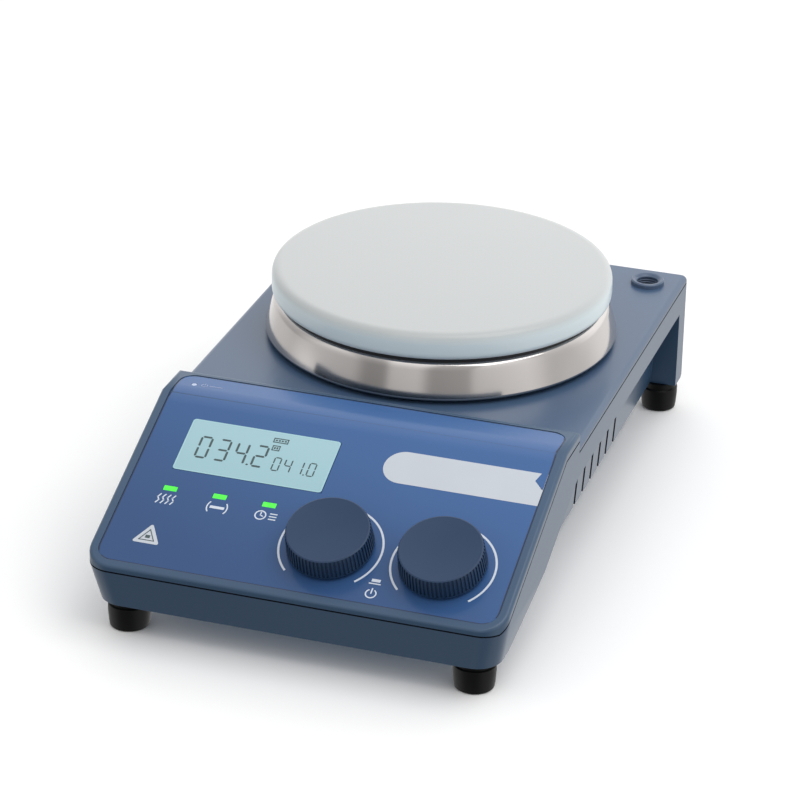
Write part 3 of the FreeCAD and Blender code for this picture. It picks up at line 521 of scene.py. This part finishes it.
def lamp_finish():
    f = Finish("green lamp", Emission_Strength=0.7, Roughness=0.25)
    glow = f.noise(900.0, 2.0)
    f.feed("Base Color", f.mix(glow, shade(40, 190, 48), shade(90, 225, 80)))
    f.feed("Emission Color", f.mix(glow, shade(38, 190, 40), shade(90, 230, 70)))
    return f.material


def display_finish():
    """Reflective liquid-crystal glass: pale cyan, a little darker along its lower edge."""
    f = Finish("display glass", Coat_Weight=0.3, Coat_Roughness=0.05)
    _, y, _ = f.parts(f.place)
    up = f.ramp(y, -0.090, -0.062)
    grain = f.noise(1400.0, 2.0)
    base = f.mix(up, shade(156, 194, 203), shade(162, 199, 208))
    f.feed("Base Color", f.mix(grain * 0.15, base, shade(150, 186, 196)))
    f.feed("Roughness", 0.16 + grain * 0.06)
    return f.material


BOARD, WINDING, FIBRE = board_finish(), winding_finish(), fibre_finish()
LAMP, DISPLAY = lamp_finish(), display_finish()
SEGMENT = moulded("display segment", (62, 80, 82), 0.35, 1500.0, 0.01, 6)
DISPLAY_RIM = moulded("display rim", (160, 200, 206), 0.25, 1500.0, 0.01, 8)
PALE_LAMP = moulded("pale lamp", (176, 188, 214), 0.25, 1500.0, 0.01, 8)
FUSE_GLASS = moulded("fuse glass", (196, 208, 206), 0.08, 900.0, 0.01, 20)


def give(piece, *finishes):
    piece.data.materials.clear()
    for finish in finishes:
        piece.data.materials.append(finish)
    return piece


# %% [markdown]
# The three casing mouldings meet in fine seams. A moulding never has a razor edge, so each CAD
# shape is copied, its triangles are merged and its edges are rounded by a tenth of a millimetre.
# Faces in the seam's groove and inside the vents get a painted shade.

# %% Casing mouldings with softened edges
SEAM_LINE = [(-134.0, 27.0), (-130.0, 27.0), (-127.0, 28.55), (-53.6, 59.5), (-35.4, 59.5),
             (-35.4, 54.8), (134.0, 54.8)]


SOFT_EDGE = 0.12
VENT_X, VENT_Y, VENT_TOP = (64, 71.6), (0, 63), 39


def off_seam(y, z):
    """How far a place in side view is from the seam, in millimetres."""
    here, nearest = Vector((y, z)), 1e9
    for a, b in zip(SEAM_LINE, SEAM_LINE[1:]):
        a, b = Vector(a), Vector(b)
        t = max(0.0, min(1.0, (here - a).dot(b - a) / (b - a).length_squared))
        nearest = min(nearest, (here - a - (b - a) * t).length)
    return nearest


def in_vent(place, normal):
    return (abs(normal.y) > 0.9 and VENT_X[0] < abs(place.x) < VENT_X[1]
            and VENT_Y[0] < place.y < VENT_Y[1] and place.z < VENT_TOP)


def moulding(name, finish, reach):
    """Round the edges, and paint shade on what lies within reach of the seam or inside a vent."""
    piece = cad_copy(name)
    soften(piece, SOFT_EDGE, 2, 32)
    give(piece, finish, SEAM)
    for face in piece.data.polygons:
        place = face.center / MM
        dark = off_seam(place.y, place.z) < reach or in_vent(place, face.normal)
        face.material_index = int(dark)
    return finish_piece(piece, name + "_skin", "casing", smooth=30,
                        replaces=[name], flat=True)


bezel = moulding("control_bezel", CASING, 0.5)
base = moulding("base_casing", CASING, 0.1)
deck = moulding("deck_cover", LIT_DECK, 0.5)
print("casing faces:", len(base.data.polygons), len(bezel.data.polygons), len(deck.data.polygons))

# %% [markdown]
# The printed film follows the slope and bends over its top. Its bend is an edge that is bevelled
# widely, so light rolls over it softly. An inset of its upper faces then leaves a narrow margin
# all round, which gets a darker finish as painted shade where the film meets the bezel.

# %% Panel film
MARGIN = 0.45
INSIDE_X, INSIDE_Y = 75.4, (-129.6, -39.6)
film = cad_copy("panel_overlay")
give(film, FILM, FILM_EDGE_SHADE)
only(film)
bpy.ops.object.mode_set(mode="EDIT")
pick(film, lambda place, run: abs(place.y / MM - BEND_Y) < 1.5 and abs(run.x) > 0.1, "EDGE")
bpy.ops.mesh.bevel(offset=6 * MM, segments=7)
faces = pick(film, lambda place, normal: normal.z > 0.88)
bpy.ops.mesh.inset(thickness=MARGIN * MM, depth=0)
inner = {face.index for face in bmesh.from_edit_mesh(film.data).faces if face.select}
bpy.ops.object.mode_set(mode="OBJECT")
# Faces outside the inset get the painted shade along the film's edge.
for face in film.data.polygons:
    x, y = face.center.x / MM, face.center.y / MM
    middle = abs(x) < INSIDE_X and INSIDE_Y[0] < y < INSIDE_Y[1]
    face.material_index = 0 if face.index in inner or middle else 1
finish_piece(film, "panel_film", "casing", smooth=25, replaces=["panel_overlay"],
             flat=True)
print("film faces inset:", faces)

# %% [markdown]
# The plate and the parts right under it are round, so they are turned. The plate has a generous
# rounding on top. The pan flares out downwards, with a small bead at its upper edge and a rolled
# lip at the bottom, and a black seal shows between pan and plate. The seal is drawn larger, so
# that its black rubber also stands as painted shade in the gap under the plate.

# %% Plate, pan and seal
plate_outline = rounded([(0, 75.4), (67.5, 75.4), (67.5, 86.0), (0, 86.0)], {1: 2.6, 2: 4.2})
plate = turned(plate_outline, 224, (0, PLATE_Y))
give(plate, PLATE)
finish_piece(plate, "white_plate", "casing", smooth=40, replaces=["plate_disc"])

pan_outline = rounded(
    [(59.4, 73.2), (63.6, 73.2), (65.2, 71.4), (68.9, 61.0), (68.2, 60.2), (65.0, 60.2),
     (65.0, 59.4), (69.2, 59.4), (70.0, 60.6), (66.2, 74.2), (59.4, 74.2)],
    {3: 0.6, 7: 0.8, 8: 0.9, 9: 5.5})
pan = turned(pan_outline + [pan_outline[0]], 224, (0, PLATE_Y))
give(pan, PAN)
finish_piece(pan, "steel_pan", "casing", smooth=40, replaces=["plate_pan"])

# Partly painted shade: the seal is drawn larger so its black rubber also fills the shaded gap
# under the plate.
seal_and_gap_shade_outline = rounded([(59.4, 74.2), (63.0, 74.0), (64.9, 73.2), (64.9, 75.4), (59.4, 75.4)],
                       {3: 0.3})
seal = turned(seal_and_gap_shade_outline + [seal_and_gap_shade_outline[0]], 160, (0, PLATE_Y))
give(seal, SEAL_RUBBER)
finish_piece(seal, "plate_seal_and_gap_shade", "casing", smooth=40, replaces=["plate_seal"])

# %% [markdown]
# A knob is a turned cap with a fine knurl round its skirt. The cap is turned with four
# edges to each rib, so picking two faces out of every four and pressing them in makes the
# grooves. It is modelled upright at the origin and then tipped onto the panel.

# %% The two knobs
KNOB_GAP = 1.1
RIBS = 66
GROOVE_DEPTH = 0.42


def knob(name, x, body, node):
    low = FILM_TOP + KNOB_GAP
    outline = [(6.0, low + 0.4), (10.0, low + 0.4), (15.8, low), (16.2, low + 0.3),
               (16.15, low + 0.7), (15.75, low + 7.7), (15.4, low + 8.35), (14.9, low + 8.6),
               (14.5, low + 8.5), (0, low + 8.45)]
    cap = turned(outline, RIBS * 4)
    bpy.ops.object.mode_set(mode="EDIT")
    step = 2 * math.pi / (RIBS * 4)

    def in_groove(place, normal):
        on_skirt = low + 0.8 < place.z / MM < low + 8.2 and place.xy.length / MM > 15.3
        turn = int((math.atan2(place.y, place.x) % (2 * math.pi)) / step)
        return on_skirt and turn % 4 < 2

    grooves = pick(cap, in_groove)
    bpy.ops.mesh.extrude_region_move()
    bpy.ops.transform.shrink_fatten(value=-GROOVE_DEPTH * MM)
    bpy.ops.object.mode_set(mode="OBJECT")
    only(cap)
    bpy.ops.object.mode_set(mode="EDIT")
    pick(cap, lambda place, run: place.z / MM < low + 0.6 and place.xy.length / MM < 6.5,
         "EDGE")
    bpy.ops.mesh.edge_face_add()
    bpy.ops.object.mode_set(mode="OBJECT")
    give(cap, KNOB)
    print(name, "grooves:", grooves)
    move = TO_PANEL @ Matrix.Translation(Vector((x, KNOB_UP, 0)) * MM)
    return finish_piece(cap, name, body, to=move, smooth=32, replaces=[node])


knob("heat_dial_cap", KNOB_X[0], "heat_dial", "heat_knob")
knob("stir_dial_cap", KNOB_X[1], "stir_dial", "stir_knob")

# %% [markdown]
# Each foot is a rubber post with a wider rim at the floor and a shallow hollow for its
# screw. The same outline is turned once at each corner, at the place and the size that the
# CAD foot there has.

# %% Four feet
def foot(name, node):
    low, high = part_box(node)
    x, y = (low.x + high.x) / 2 / MM, (low.y + high.y) / 2 / MM
    r, top = (high.x - low.x) / 2 / MM, high.z / MM
    outline = rounded([(2.0, 2.3), (3.8, 2.3), (3.8, 0.0), (r - 0.6, 0.0), (r - 0.3, 2.0),
                       (r, 6.4), (r, 9.2), (r - 0.7, 9.6), (r - 0.7, top - 0.02),
                       (2.0, top - 0.02)], {2: 0.5, 3: 0.6, 6: 0.3})
    post = turned(outline + [outline[0]], 96, (x, y))
    give(post, BLACK_RUBBER)
    return finish_piece(post, name, "casing", smooth=35, replaces=[node])


CORNERS = ("front_left", "front_right", "rear_left", "rear_right")
for corner in CORNERS:
    foot(corner + "_rubber", corner + "_foot")

# %% [markdown]
# The support rod screws into a raised boss. Its collar is turned, and inside the hole a
# stack of turned ridges stands for the thread, so the hole doesn't read as a plain tube.

# %% Rod boss with its thread
boss_low, boss_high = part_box("rod_boss")
boss_at = ((boss_low.x + boss_high.x) / 2 / MM, (boss_low.y + boss_high.y) / 2 / MM)
top, floor, under = boss_high.z / MM, 48.4, 47.5
crest, root, pitch = 4.3, 4.9, 1.0
thread = []
turn_z = floor + 0.4
while turn_z < top - 1.3:
    thread += [(root, turn_z), (crest, turn_z + pitch / 2)]
    turn_z += pitch
outline = ([(0, floor), (crest, floor)] + thread
           + [(crest, top - 1.0), (5.2, top - 0.25), (5.6, top), (6.3, top), (6.8, top - 0.5),
              (6.8, 57.85), (5.5, 57.8), (5.5, under), (0, under)])
boss = turned(outline, 96, boss_at)
# The boss's lighter blue is painted light on its top.
give(boss, LIT_BOSS)
finish_piece(boss, "rod_boss_turned", "casing", smooth=40, replaces=["rod_boss"])

# %% [markdown]
# The display is a window with rounded corners and a lighter rim. Its upright edges are
# bevelled for the corners, and an inset of its top face leaves the rim. A slightly larger
# slab in the film's colour lies behind it and closes the gap round it.

# %% Display window
GLASS_TOP = -0.16
window = slab(-62.4, -3.8, 49.9, 75.2, -0.9, GLASS_TOP)
give(window, DISPLAY_RIM, DISPLAY)
only(window)
bpy.ops.object.mode_set(mode="EDIT")
pick(window, lambda p, n: abs(n.z) > 0.3 * MM, "EDGE")
bpy.ops.mesh.bevel(offset=1.3 * MM, segments=6)
pick(window, lambda p, n: n.z > 0.9)
bpy.ops.mesh.inset(thickness=0.5 * MM, depth=0)
window.active_material_index = 1
bpy.ops.object.material_slot_assign()
bpy.ops.object.mode_set(mode="OBJECT")
backing = slab(-62.5, -3.7, 49.8, 75.3, -0.88, -0.22)
give(backing, FILM)
window = joined([window, backing])
finish_piece(window, "display_glass", "casing", to=TO_PANEL,
             replaces=["lcd_window"], flat=True)
print("window faces:", len(window.data.polygons))

# %% [markdown]
# A figure is up to seven bars, and each bar is a flat six-sided prism with pointed ends.
# The two small frames above the figures stand for the units, with short dashes in them.

# %% Display figures
INK = 0.05
BARS = {"0": "abcdef", "1": "bc", "2": "abdeg", "3": "abcdg", "4": "bcfg"}


def bar(x, u, length, width, upright=False):
    deselect()
    bpy.ops.mesh.primitive_cylinder_add(vertices=6, radius=0.5, depth=1)
    piece = bpy.context.object
    piece.scale = (width * 1.15 * MM, length * MM, INK * MM)
    bpy.ops.object.transform_apply(location=True, rotation=True, scale=True)
    bpy.ops.object.mode_set(mode="EDIT")
    pick(piece, lambda p, n: abs(p.y) < length * 0.3 * MM, "VERT")
    bpy.ops.transform.resize(value=(1, (length - width) / (length * 0.5), 1),
                             center_override=(0, 0, 0))
    bpy.ops.object.mode_set(mode="OBJECT")
    if not upright:
        piece.data.transform(Matrix.Rotation(math.pi / 2, 4, "Z"))
    piece.data.transform(Matrix.Translation(Vector((x, u, GLASS_TOP + INK / 2)) * MM))
    return piece


def figure(sign, x, u, high, wide, thick):
    """One figure with its foot at u and its left side at x."""
    h = high / 2
    spots = {"a": (wide / 2, high, 0), "g": (wide / 2, h, 0), "d": (wide / 2, 0, 0),
             "f": (0, h * 1.5, 1), "b": (wide, h * 1.5, 1), "e": (0, h / 2, 1),
             "c": (wide, h / 2, 1)}
    bars = []
    for key in BARS[sign]:
        dx, du, upright = spots[key]
        bars.append(bar(x + dx, u + du, (h if upright else wide) * 0.9, thick, upright))
    return bars


def unit_frame(x0, x1, u0, u1, dashes):
    """A small open frame with short dashes in a row inside it."""
    low, high, t = GLASS_TOP, GLASS_TOP + INK, 0.4
    rails = [slab(x0, x1, u0, u0 + t, low, high), slab(x0, x1, u1 - t, u1, low, high),
             slab(x0, x0 + t, u0, u1, low, high), slab(x1 - t, x1, u0, u1, low, high)]
    pitch = (x1 - x0 - 1.2) / dashes
    for k in range(dashes):
        x = x0 + 0.6 + pitch * (k + 0.5)
        rails.append(slab(x - pitch * 0.32, x + pitch * 0.32, u0 + 0.8, u1 - 0.8, low, high))
    return rails


strokes = []
for sign, x in (("0", -56.1), ("3", -48.6), ("4", -41.3), ("2", -33.8)):
    strokes += figure(sign, x, 57.2, 10.0, 4.1, 0.85)
for sign, x in (("0", -25.7), ("4", -21.3), ("1", -16.7), ("0", -11.9)):
    strokes += figure(sign, x, 56.7, 6.2, 2.5, 0.5)
strokes += [bar(-35.4, 57.4, 1.1, 0.8), bar(-13.0, 56.8, 0.8, 0.6)]
strokes += unit_frame(-29.2, -23.3, 69.9, 72.2, 4) + unit_frame(-28.6, -25.5, 66.0, 68.6, 2)
readout = joined(strokes)
give(readout, SEGMENT)
finish_piece(readout, "display_figures", "casing", to=TO_PANEL)
print("readout faces:", len(readout.data.polygons))

# %% [markdown]
# The rest of the print lies on the film: an arc round each knob, a light band, marks under
# the lamps and by the knobs. Ink has almost no thickness, so each is a very thin solid. An
# arc is one small rectangle that is spun round the knob's centre.


# %% Printed arcs, lines and marks
def arc(x, u, radius, width, start, sweep, steps=64):
    """A flat bow: an upright rectangle spun clockwise through sweep degrees from start."""
    deselect()
    bpy.ops.mesh.primitive_plane_add(size=1, rotation=(math.pi / 2, 0, 0))
    piece = bpy.context.object
    piece.scale = (width * MM, INK * MM, 1)
    piece.location = (radius * MM, 0, INK / 2 * MM)
    bpy.ops.object.transform_apply(location=True, rotation=True, scale=True)
    closed = abs(sweep) >= 360
    bpy.ops.object.mode_set(mode="EDIT")
    bpy.ops.mesh.select_all(action="SELECT")
    bpy.ops.mesh.spin(steps=steps, angle=math.radians(sweep), center=(0, 0, 0), axis=(0, 0, 1))
    bpy.ops.mesh.select_all(action="SELECT")
    bpy.ops.mesh.remove_doubles(threshold=1e-7)
    bpy.ops.mesh.select_all(action="DESELECT")
    bpy.ops.mesh.select_mode(type="EDGE")
    bpy.ops.mesh.select_non_manifold()
    if not closed:
        bpy.ops.mesh.edge_face_add()
    bpy.ops.object.mode_set(mode="OBJECT")
    piece.data.transform(Matrix.Translation(Vector((x, u, FILM_TOP)) * MM)
                         @ Matrix.Rotation(math.radians(start), 4, "Z"))
    return piece


def line(x0, u0, x1, u1, width):
    """A straight stroke between two places on the panel, with slightly rounded ends."""
    length = math.hypot(x1 - x0, u1 - u0)
    stroke = slab(-width / 2, length + width / 2, -width / 2, width / 2, 0, INK)
    only(stroke)
    bpy.ops.object.mode_set(mode="EDIT")
    pick(stroke, lambda p, n: abs(n.z) > 0.9 and abs(n.x) < 0.1, "EDGE")
    bpy.ops.mesh.bevel(offset=width * 0.4 * MM, segments=3)
    bpy.ops.object.mode_set(mode="OBJECT")
    stroke.data.transform(Matrix.Translation(Vector((x0, u0, FILM_TOP)) * MM)
                          @ Matrix.Rotation(math.atan2(u1 - u0, x1 - x0), 4, "Z"))
    return stroke


def label_band(x0, x1, u, high):
    """A light band with a round left end that runs to the film's right side."""
    band = slab(x0, x1, u - high / 2, u + high / 2, FILM_TOP, FILM_TOP + INK)
    cap = arc(x0, u, high / 4, high / 2, -90, 180, 32)
    return joined([band, cap])


ink = joined([arc(x, KNOB_UP, 19.2, 0.8, 227, 273, 96) for x in KNOB_X])
give(ink, PRINT)
finish_piece(ink, "knob_arcs", "casing", to=TO_PANEL)
band = label_band(22.7, 76.0, 68.0, 15.4)
give(band, BAND)
finish_piece(band, "label_band", "casing", to=TO_PANEL)
print("arcs faces:", len(ink.data.polygons))

# %% [markdown]
# Under each lamp a small sign says what it shows: rising heat, a turning bar and a clock.
# By the knobs a push sign and the usual on-off sign say that a knob can be pressed. The
# signs are drawn with the same strokes and arcs, so they need no lettering.

# %% Signs
def triangle(x, u, radius, edge):
    """A flat triangle, point up, with rounded corners."""
    deselect()
    bpy.ops.mesh.primitive_cylinder_add(vertices=3, radius=radius * MM, depth=INK * MM)
    piece = bpy.context.object
    bpy.ops.object.mode_set(mode="EDIT")
    pick(piece, lambda p, n: abs(n.z) > 0.5 * INK * MM, "EDGE")
    bpy.ops.mesh.bevel(offset=edge * MM, segments=5)
    bpy.ops.object.mode_set(mode="OBJECT")
    piece.data.transform(Matrix.Translation(Vector((x, u, FILM_TOP + INK / 2)) * MM))
    return piece


UNDER_LAMPS = 35.1
signs = []
for k in range(4):
    x = -62.9 + k * 1.9
    signs += [line(x, 33.0, x + 0.8, 34.4, 0.5), line(x + 0.8, 34.4, x, 35.8, 0.5),
              line(x, 35.8, x + 0.8, 37.2, 0.5)]
x, u = -39.4, UNDER_LAMPS
signs += [line(x - 2.2, u, x + 2.2, u, 1.2)]
signs += [arc(x, u, 3.9, 0.5, start, 76, 20) for start in (38, 218)]
x = -22.4
signs += [arc(x, u, 2.0, 0.5, 0, 360, 40), line(x, u, x, u + 1.3, 0.45),
          line(x, u, x + 0.9, u - 0.4, 0.45)]
signs += [line(x + 3.6, u + up, x + 6.0, u + up, 0.5) for up in (1.3, 0, -1.3)]
x = 28.6
signs += [line(x - 0.8, 14.5, x + 1.2, 14.5, 1.3), line(x - 1.9, 13.0, x + 2.1, 13.0, 0.5),
          arc(x, 8.4, 1.9, 0.5, 60, 300, 36), line(x, 8.6, x, 10.7, 0.5)]
sign_print = joined(signs)
give(sign_print, PRINT)
finish_piece(sign_print, "panel_signs", "casing", to=TO_PANEL)

caution = triangle(-60.0, 16.6, 6.3, 1.3)
give(caution, BAND)
finish_piece(caution, "triangle_sign", "casing", to=TO_PANEL)
inner = [line(-62.9, 14.9, -57.1, 14.9, 0.35), line(-62.9, 14.9, -60.0, 19.9, 0.35),
         line(-57.1, 14.9, -60.0, 19.9, 0.35), line(-60.2, 16.6, -59.8, 16.6, 1.4)]
inner = joined(inner)
inner.data.transform(Matrix.Translation((0, 0, INK * MM)))
give(inner, SEGMENT)
finish_piece(inner, "triangle_lines", "casing", to=TO_PANEL)

x, y = -65.6, -45.6
power_sign = joined([arc(x, y, 1.1, 0.35, 60, 300, 28), line(x, y + 0.2, x, y + 1.4, 0.35),
                     line(x + 2.2, y, x + 7.0, y, 0.5)])
give(power_sign, FAINT_PRINT)
finish_piece(power_sign, "power_sign", "casing",
             to=Matrix.Translation((0, 0, TOP_Z * MM)))
print("sign faces:", len(sign_print.data.polygons))

# %% [markdown]
# The pieces that keep their CAD shape still need a finish each. A table from finish to
# pieces is the clearest way, and a count at the end shows that none was forgotten.

# %% Finishes for the pieces that keep their shape
wear = {
    "status_lights": LAMP,
    "power_light": PALE_LAMP,
    "panel_board control_board": BOARD,
    "board_components motor_stator": BLACK_PLASTIC,
    "heat_encoder stir_encoder heat_shaft stir_shaft heat_push_plate stir_push_plate": STEEL,
    "plate_screws bracket_screws motor_bearings motor_shaft foot_screws cover_screws": STEEL,
    "small_screws serial_socket_shell sensor_socket_shell": NICKEL,
    "transformer_core motor_rotor plate_sensor": DARK_STEEL,
    "plate_standoffs heat_shield motor_bracket motor_housing magnet_holder rear_plate": ALUMINIUM,
    "drive_magnets": NICKEL,
    "insulation_pad": FIBRE,
    "heating_element thermal_cutout": CERAMIC,
    "transformer_coil": WINDING,
    "lcd_module mains_inlet fuse_drawer rocker_housing sensor_socket_insert": BLACK_PLASTIC,
    "serial_socket_insert": BLACK_PLASTIC,
    "power_rocker": ROCKER_PLASTIC,
    "ribbon_cable": RIBBON,
    "inlet_pins": BRASS,
    "fuses": FUSE_GLASS,
}
dressed = 0
for names, finish in wear.items():
    for name in names.split():
        give(nodes[name], finish)
        dressed += 1
hidden = {"panel_overlay": FILM, "base_casing": CASING, "control_bezel": CASING,
          "deck_cover": LIT_DECK, "plate_disc": PLATE, "plate_pan": PAN, "plate_seal": SEAL_RUBBER,
          "heat_knob": KNOB, "stir_knob": KNOB, "rod_boss": LIT_BOSS, "lcd_window": DISPLAY}
hidden.update({corner + "_foot": BLACK_RUBBER for corner in CORNERS})
for name, finish in hidden.items():
    give(nodes[name], finish)
    dressed += 1
print("dressed", dressed, "of", len(nodes))

# %% [markdown]
# The stage is a pale floor in a soft room. The room is brighter behind and above than in
# front, so the sides that face the camera stay deep in colour while the deck and the right
# side pick up a sheen. Three upright patches of light in front give the steel its streaks.

# %% Floor and lights
deselect()
bpy.ops.mesh.primitive_plane_add(size=8, location=(0, 0, -0.0002))
ground = bpy.context.object
ground.name = "ground"
ground.visible_diffuse = ground.visible_glossy = False
pale = Finish("pale floor", Roughness=0.9)
pale.feed("Base Color", pale.mix(pale.noise(2.0), shade(250, 250, 250), shade(253, 253, 253)))
give(ground, pale.material)

world = bpy.data.worlds.new("soft room")
bpy.context.scene.world = world
room = Tree(world, "Background")
x, y, z = room.parts(room.node("ShaderNodeTexCoord", {}, output="Generated"))
above = 0.70 + y * 0.30 + x * 0.12 + z * 0.24 + room.ramp(y, 0.3, 0.85) * 0.65
below = 0.44 + y * 0.36 + x * x * 0.42 + room.ramp(y, 0.4, 0.9) * 0.45
upper = room.ramp(z, -0.12, 0.04)
streaks = (room.ramp(x, -0.32, -0.24) * room.ramp(x, 0.22, 0.04) * 0.9
           + room.ramp(x, 0.56, 0.64) * 0.5 + room.ramp(x, -0.5, -0.66) * 0.6)
level = (above * upper + below * (1 - upper)) * (0.86 + room.ramp(y, 0.1, -0.3) * streaks)
room.shader.inputs["Color"].default_value = (1, 1, 1, 1)
room.feed("Strength", level)


def softbox(name, place, aim, size, power):
    light = bpy.data.lights.new(name, "AREA")
    light.shape, light.size, light.size_y, light.energy = "RECTANGLE", *size, power
    holder = bpy.data.objects.new(name, light)
    bpy.context.scene.collection.objects.link(holder)
    holder.location = place
    holder.rotation_mode = "QUATERNION"
    holder.rotation_quaternion = (Vector(aim) - Vector(place)).to_track_quat("-Z", "Y")
    return holder


key = softbox("key", (0.45, -0.1, 1.0), (0, 0, 0.04), (0.8, 0.8), 3.6)
print("floor:", ground.name, "light:", key.name)

# %% [markdown]
# The camera looks down on the front left of the panel. Its direction is given by turning
# about the upright, rising above the horizon and a slight roll, and its distance and lens
# come from how strongly the sides converge.

# %% Camera
LENS, SENSOR = 153.7218, 36
DISTANCE, LIFT, SIDE = 1352.31, 43.7, -1.59
AIM = Vector((0, 1.8, -2.0))
azimuth, elevation, roll = (math.radians(v) for v in (17.67, 25.8, -1.06))
back = Vector((math.sin(azimuth) * math.cos(elevation), -math.cos(azimuth) * math.cos(elevation),
               math.sin(elevation)))
right = Vector((math.cos(azimuth), math.sin(azimuth), 0))
up = back.cross(right)
c, s = math.cos(roll), math.sin(roll)
right, up = right * c - up * s, right * s + up * c
reach = right * SIDE + up * LIFT + back * DISTANCE
camera = bpy.data.objects.new("camera", bpy.data.cameras.new("camera"))
bpy.context.scene.collection.objects.link(camera)
axes = Matrix((right, up, back)).transposed().to_4x4()
camera.matrix_world = Matrix.Translation((reach + AIM) * MM) @ axes
camera.data.sensor_width = SENSOR
camera.data.lens = LENS
camera.data.clip_start, camera.data.clip_end = 0.05, 20
bpy.context.scene.camera = camera
bpy.context.scene.view_settings.view_transform = "Standard"
print("camera at", [round(v, 4) for v in camera.matrix_world.translation])
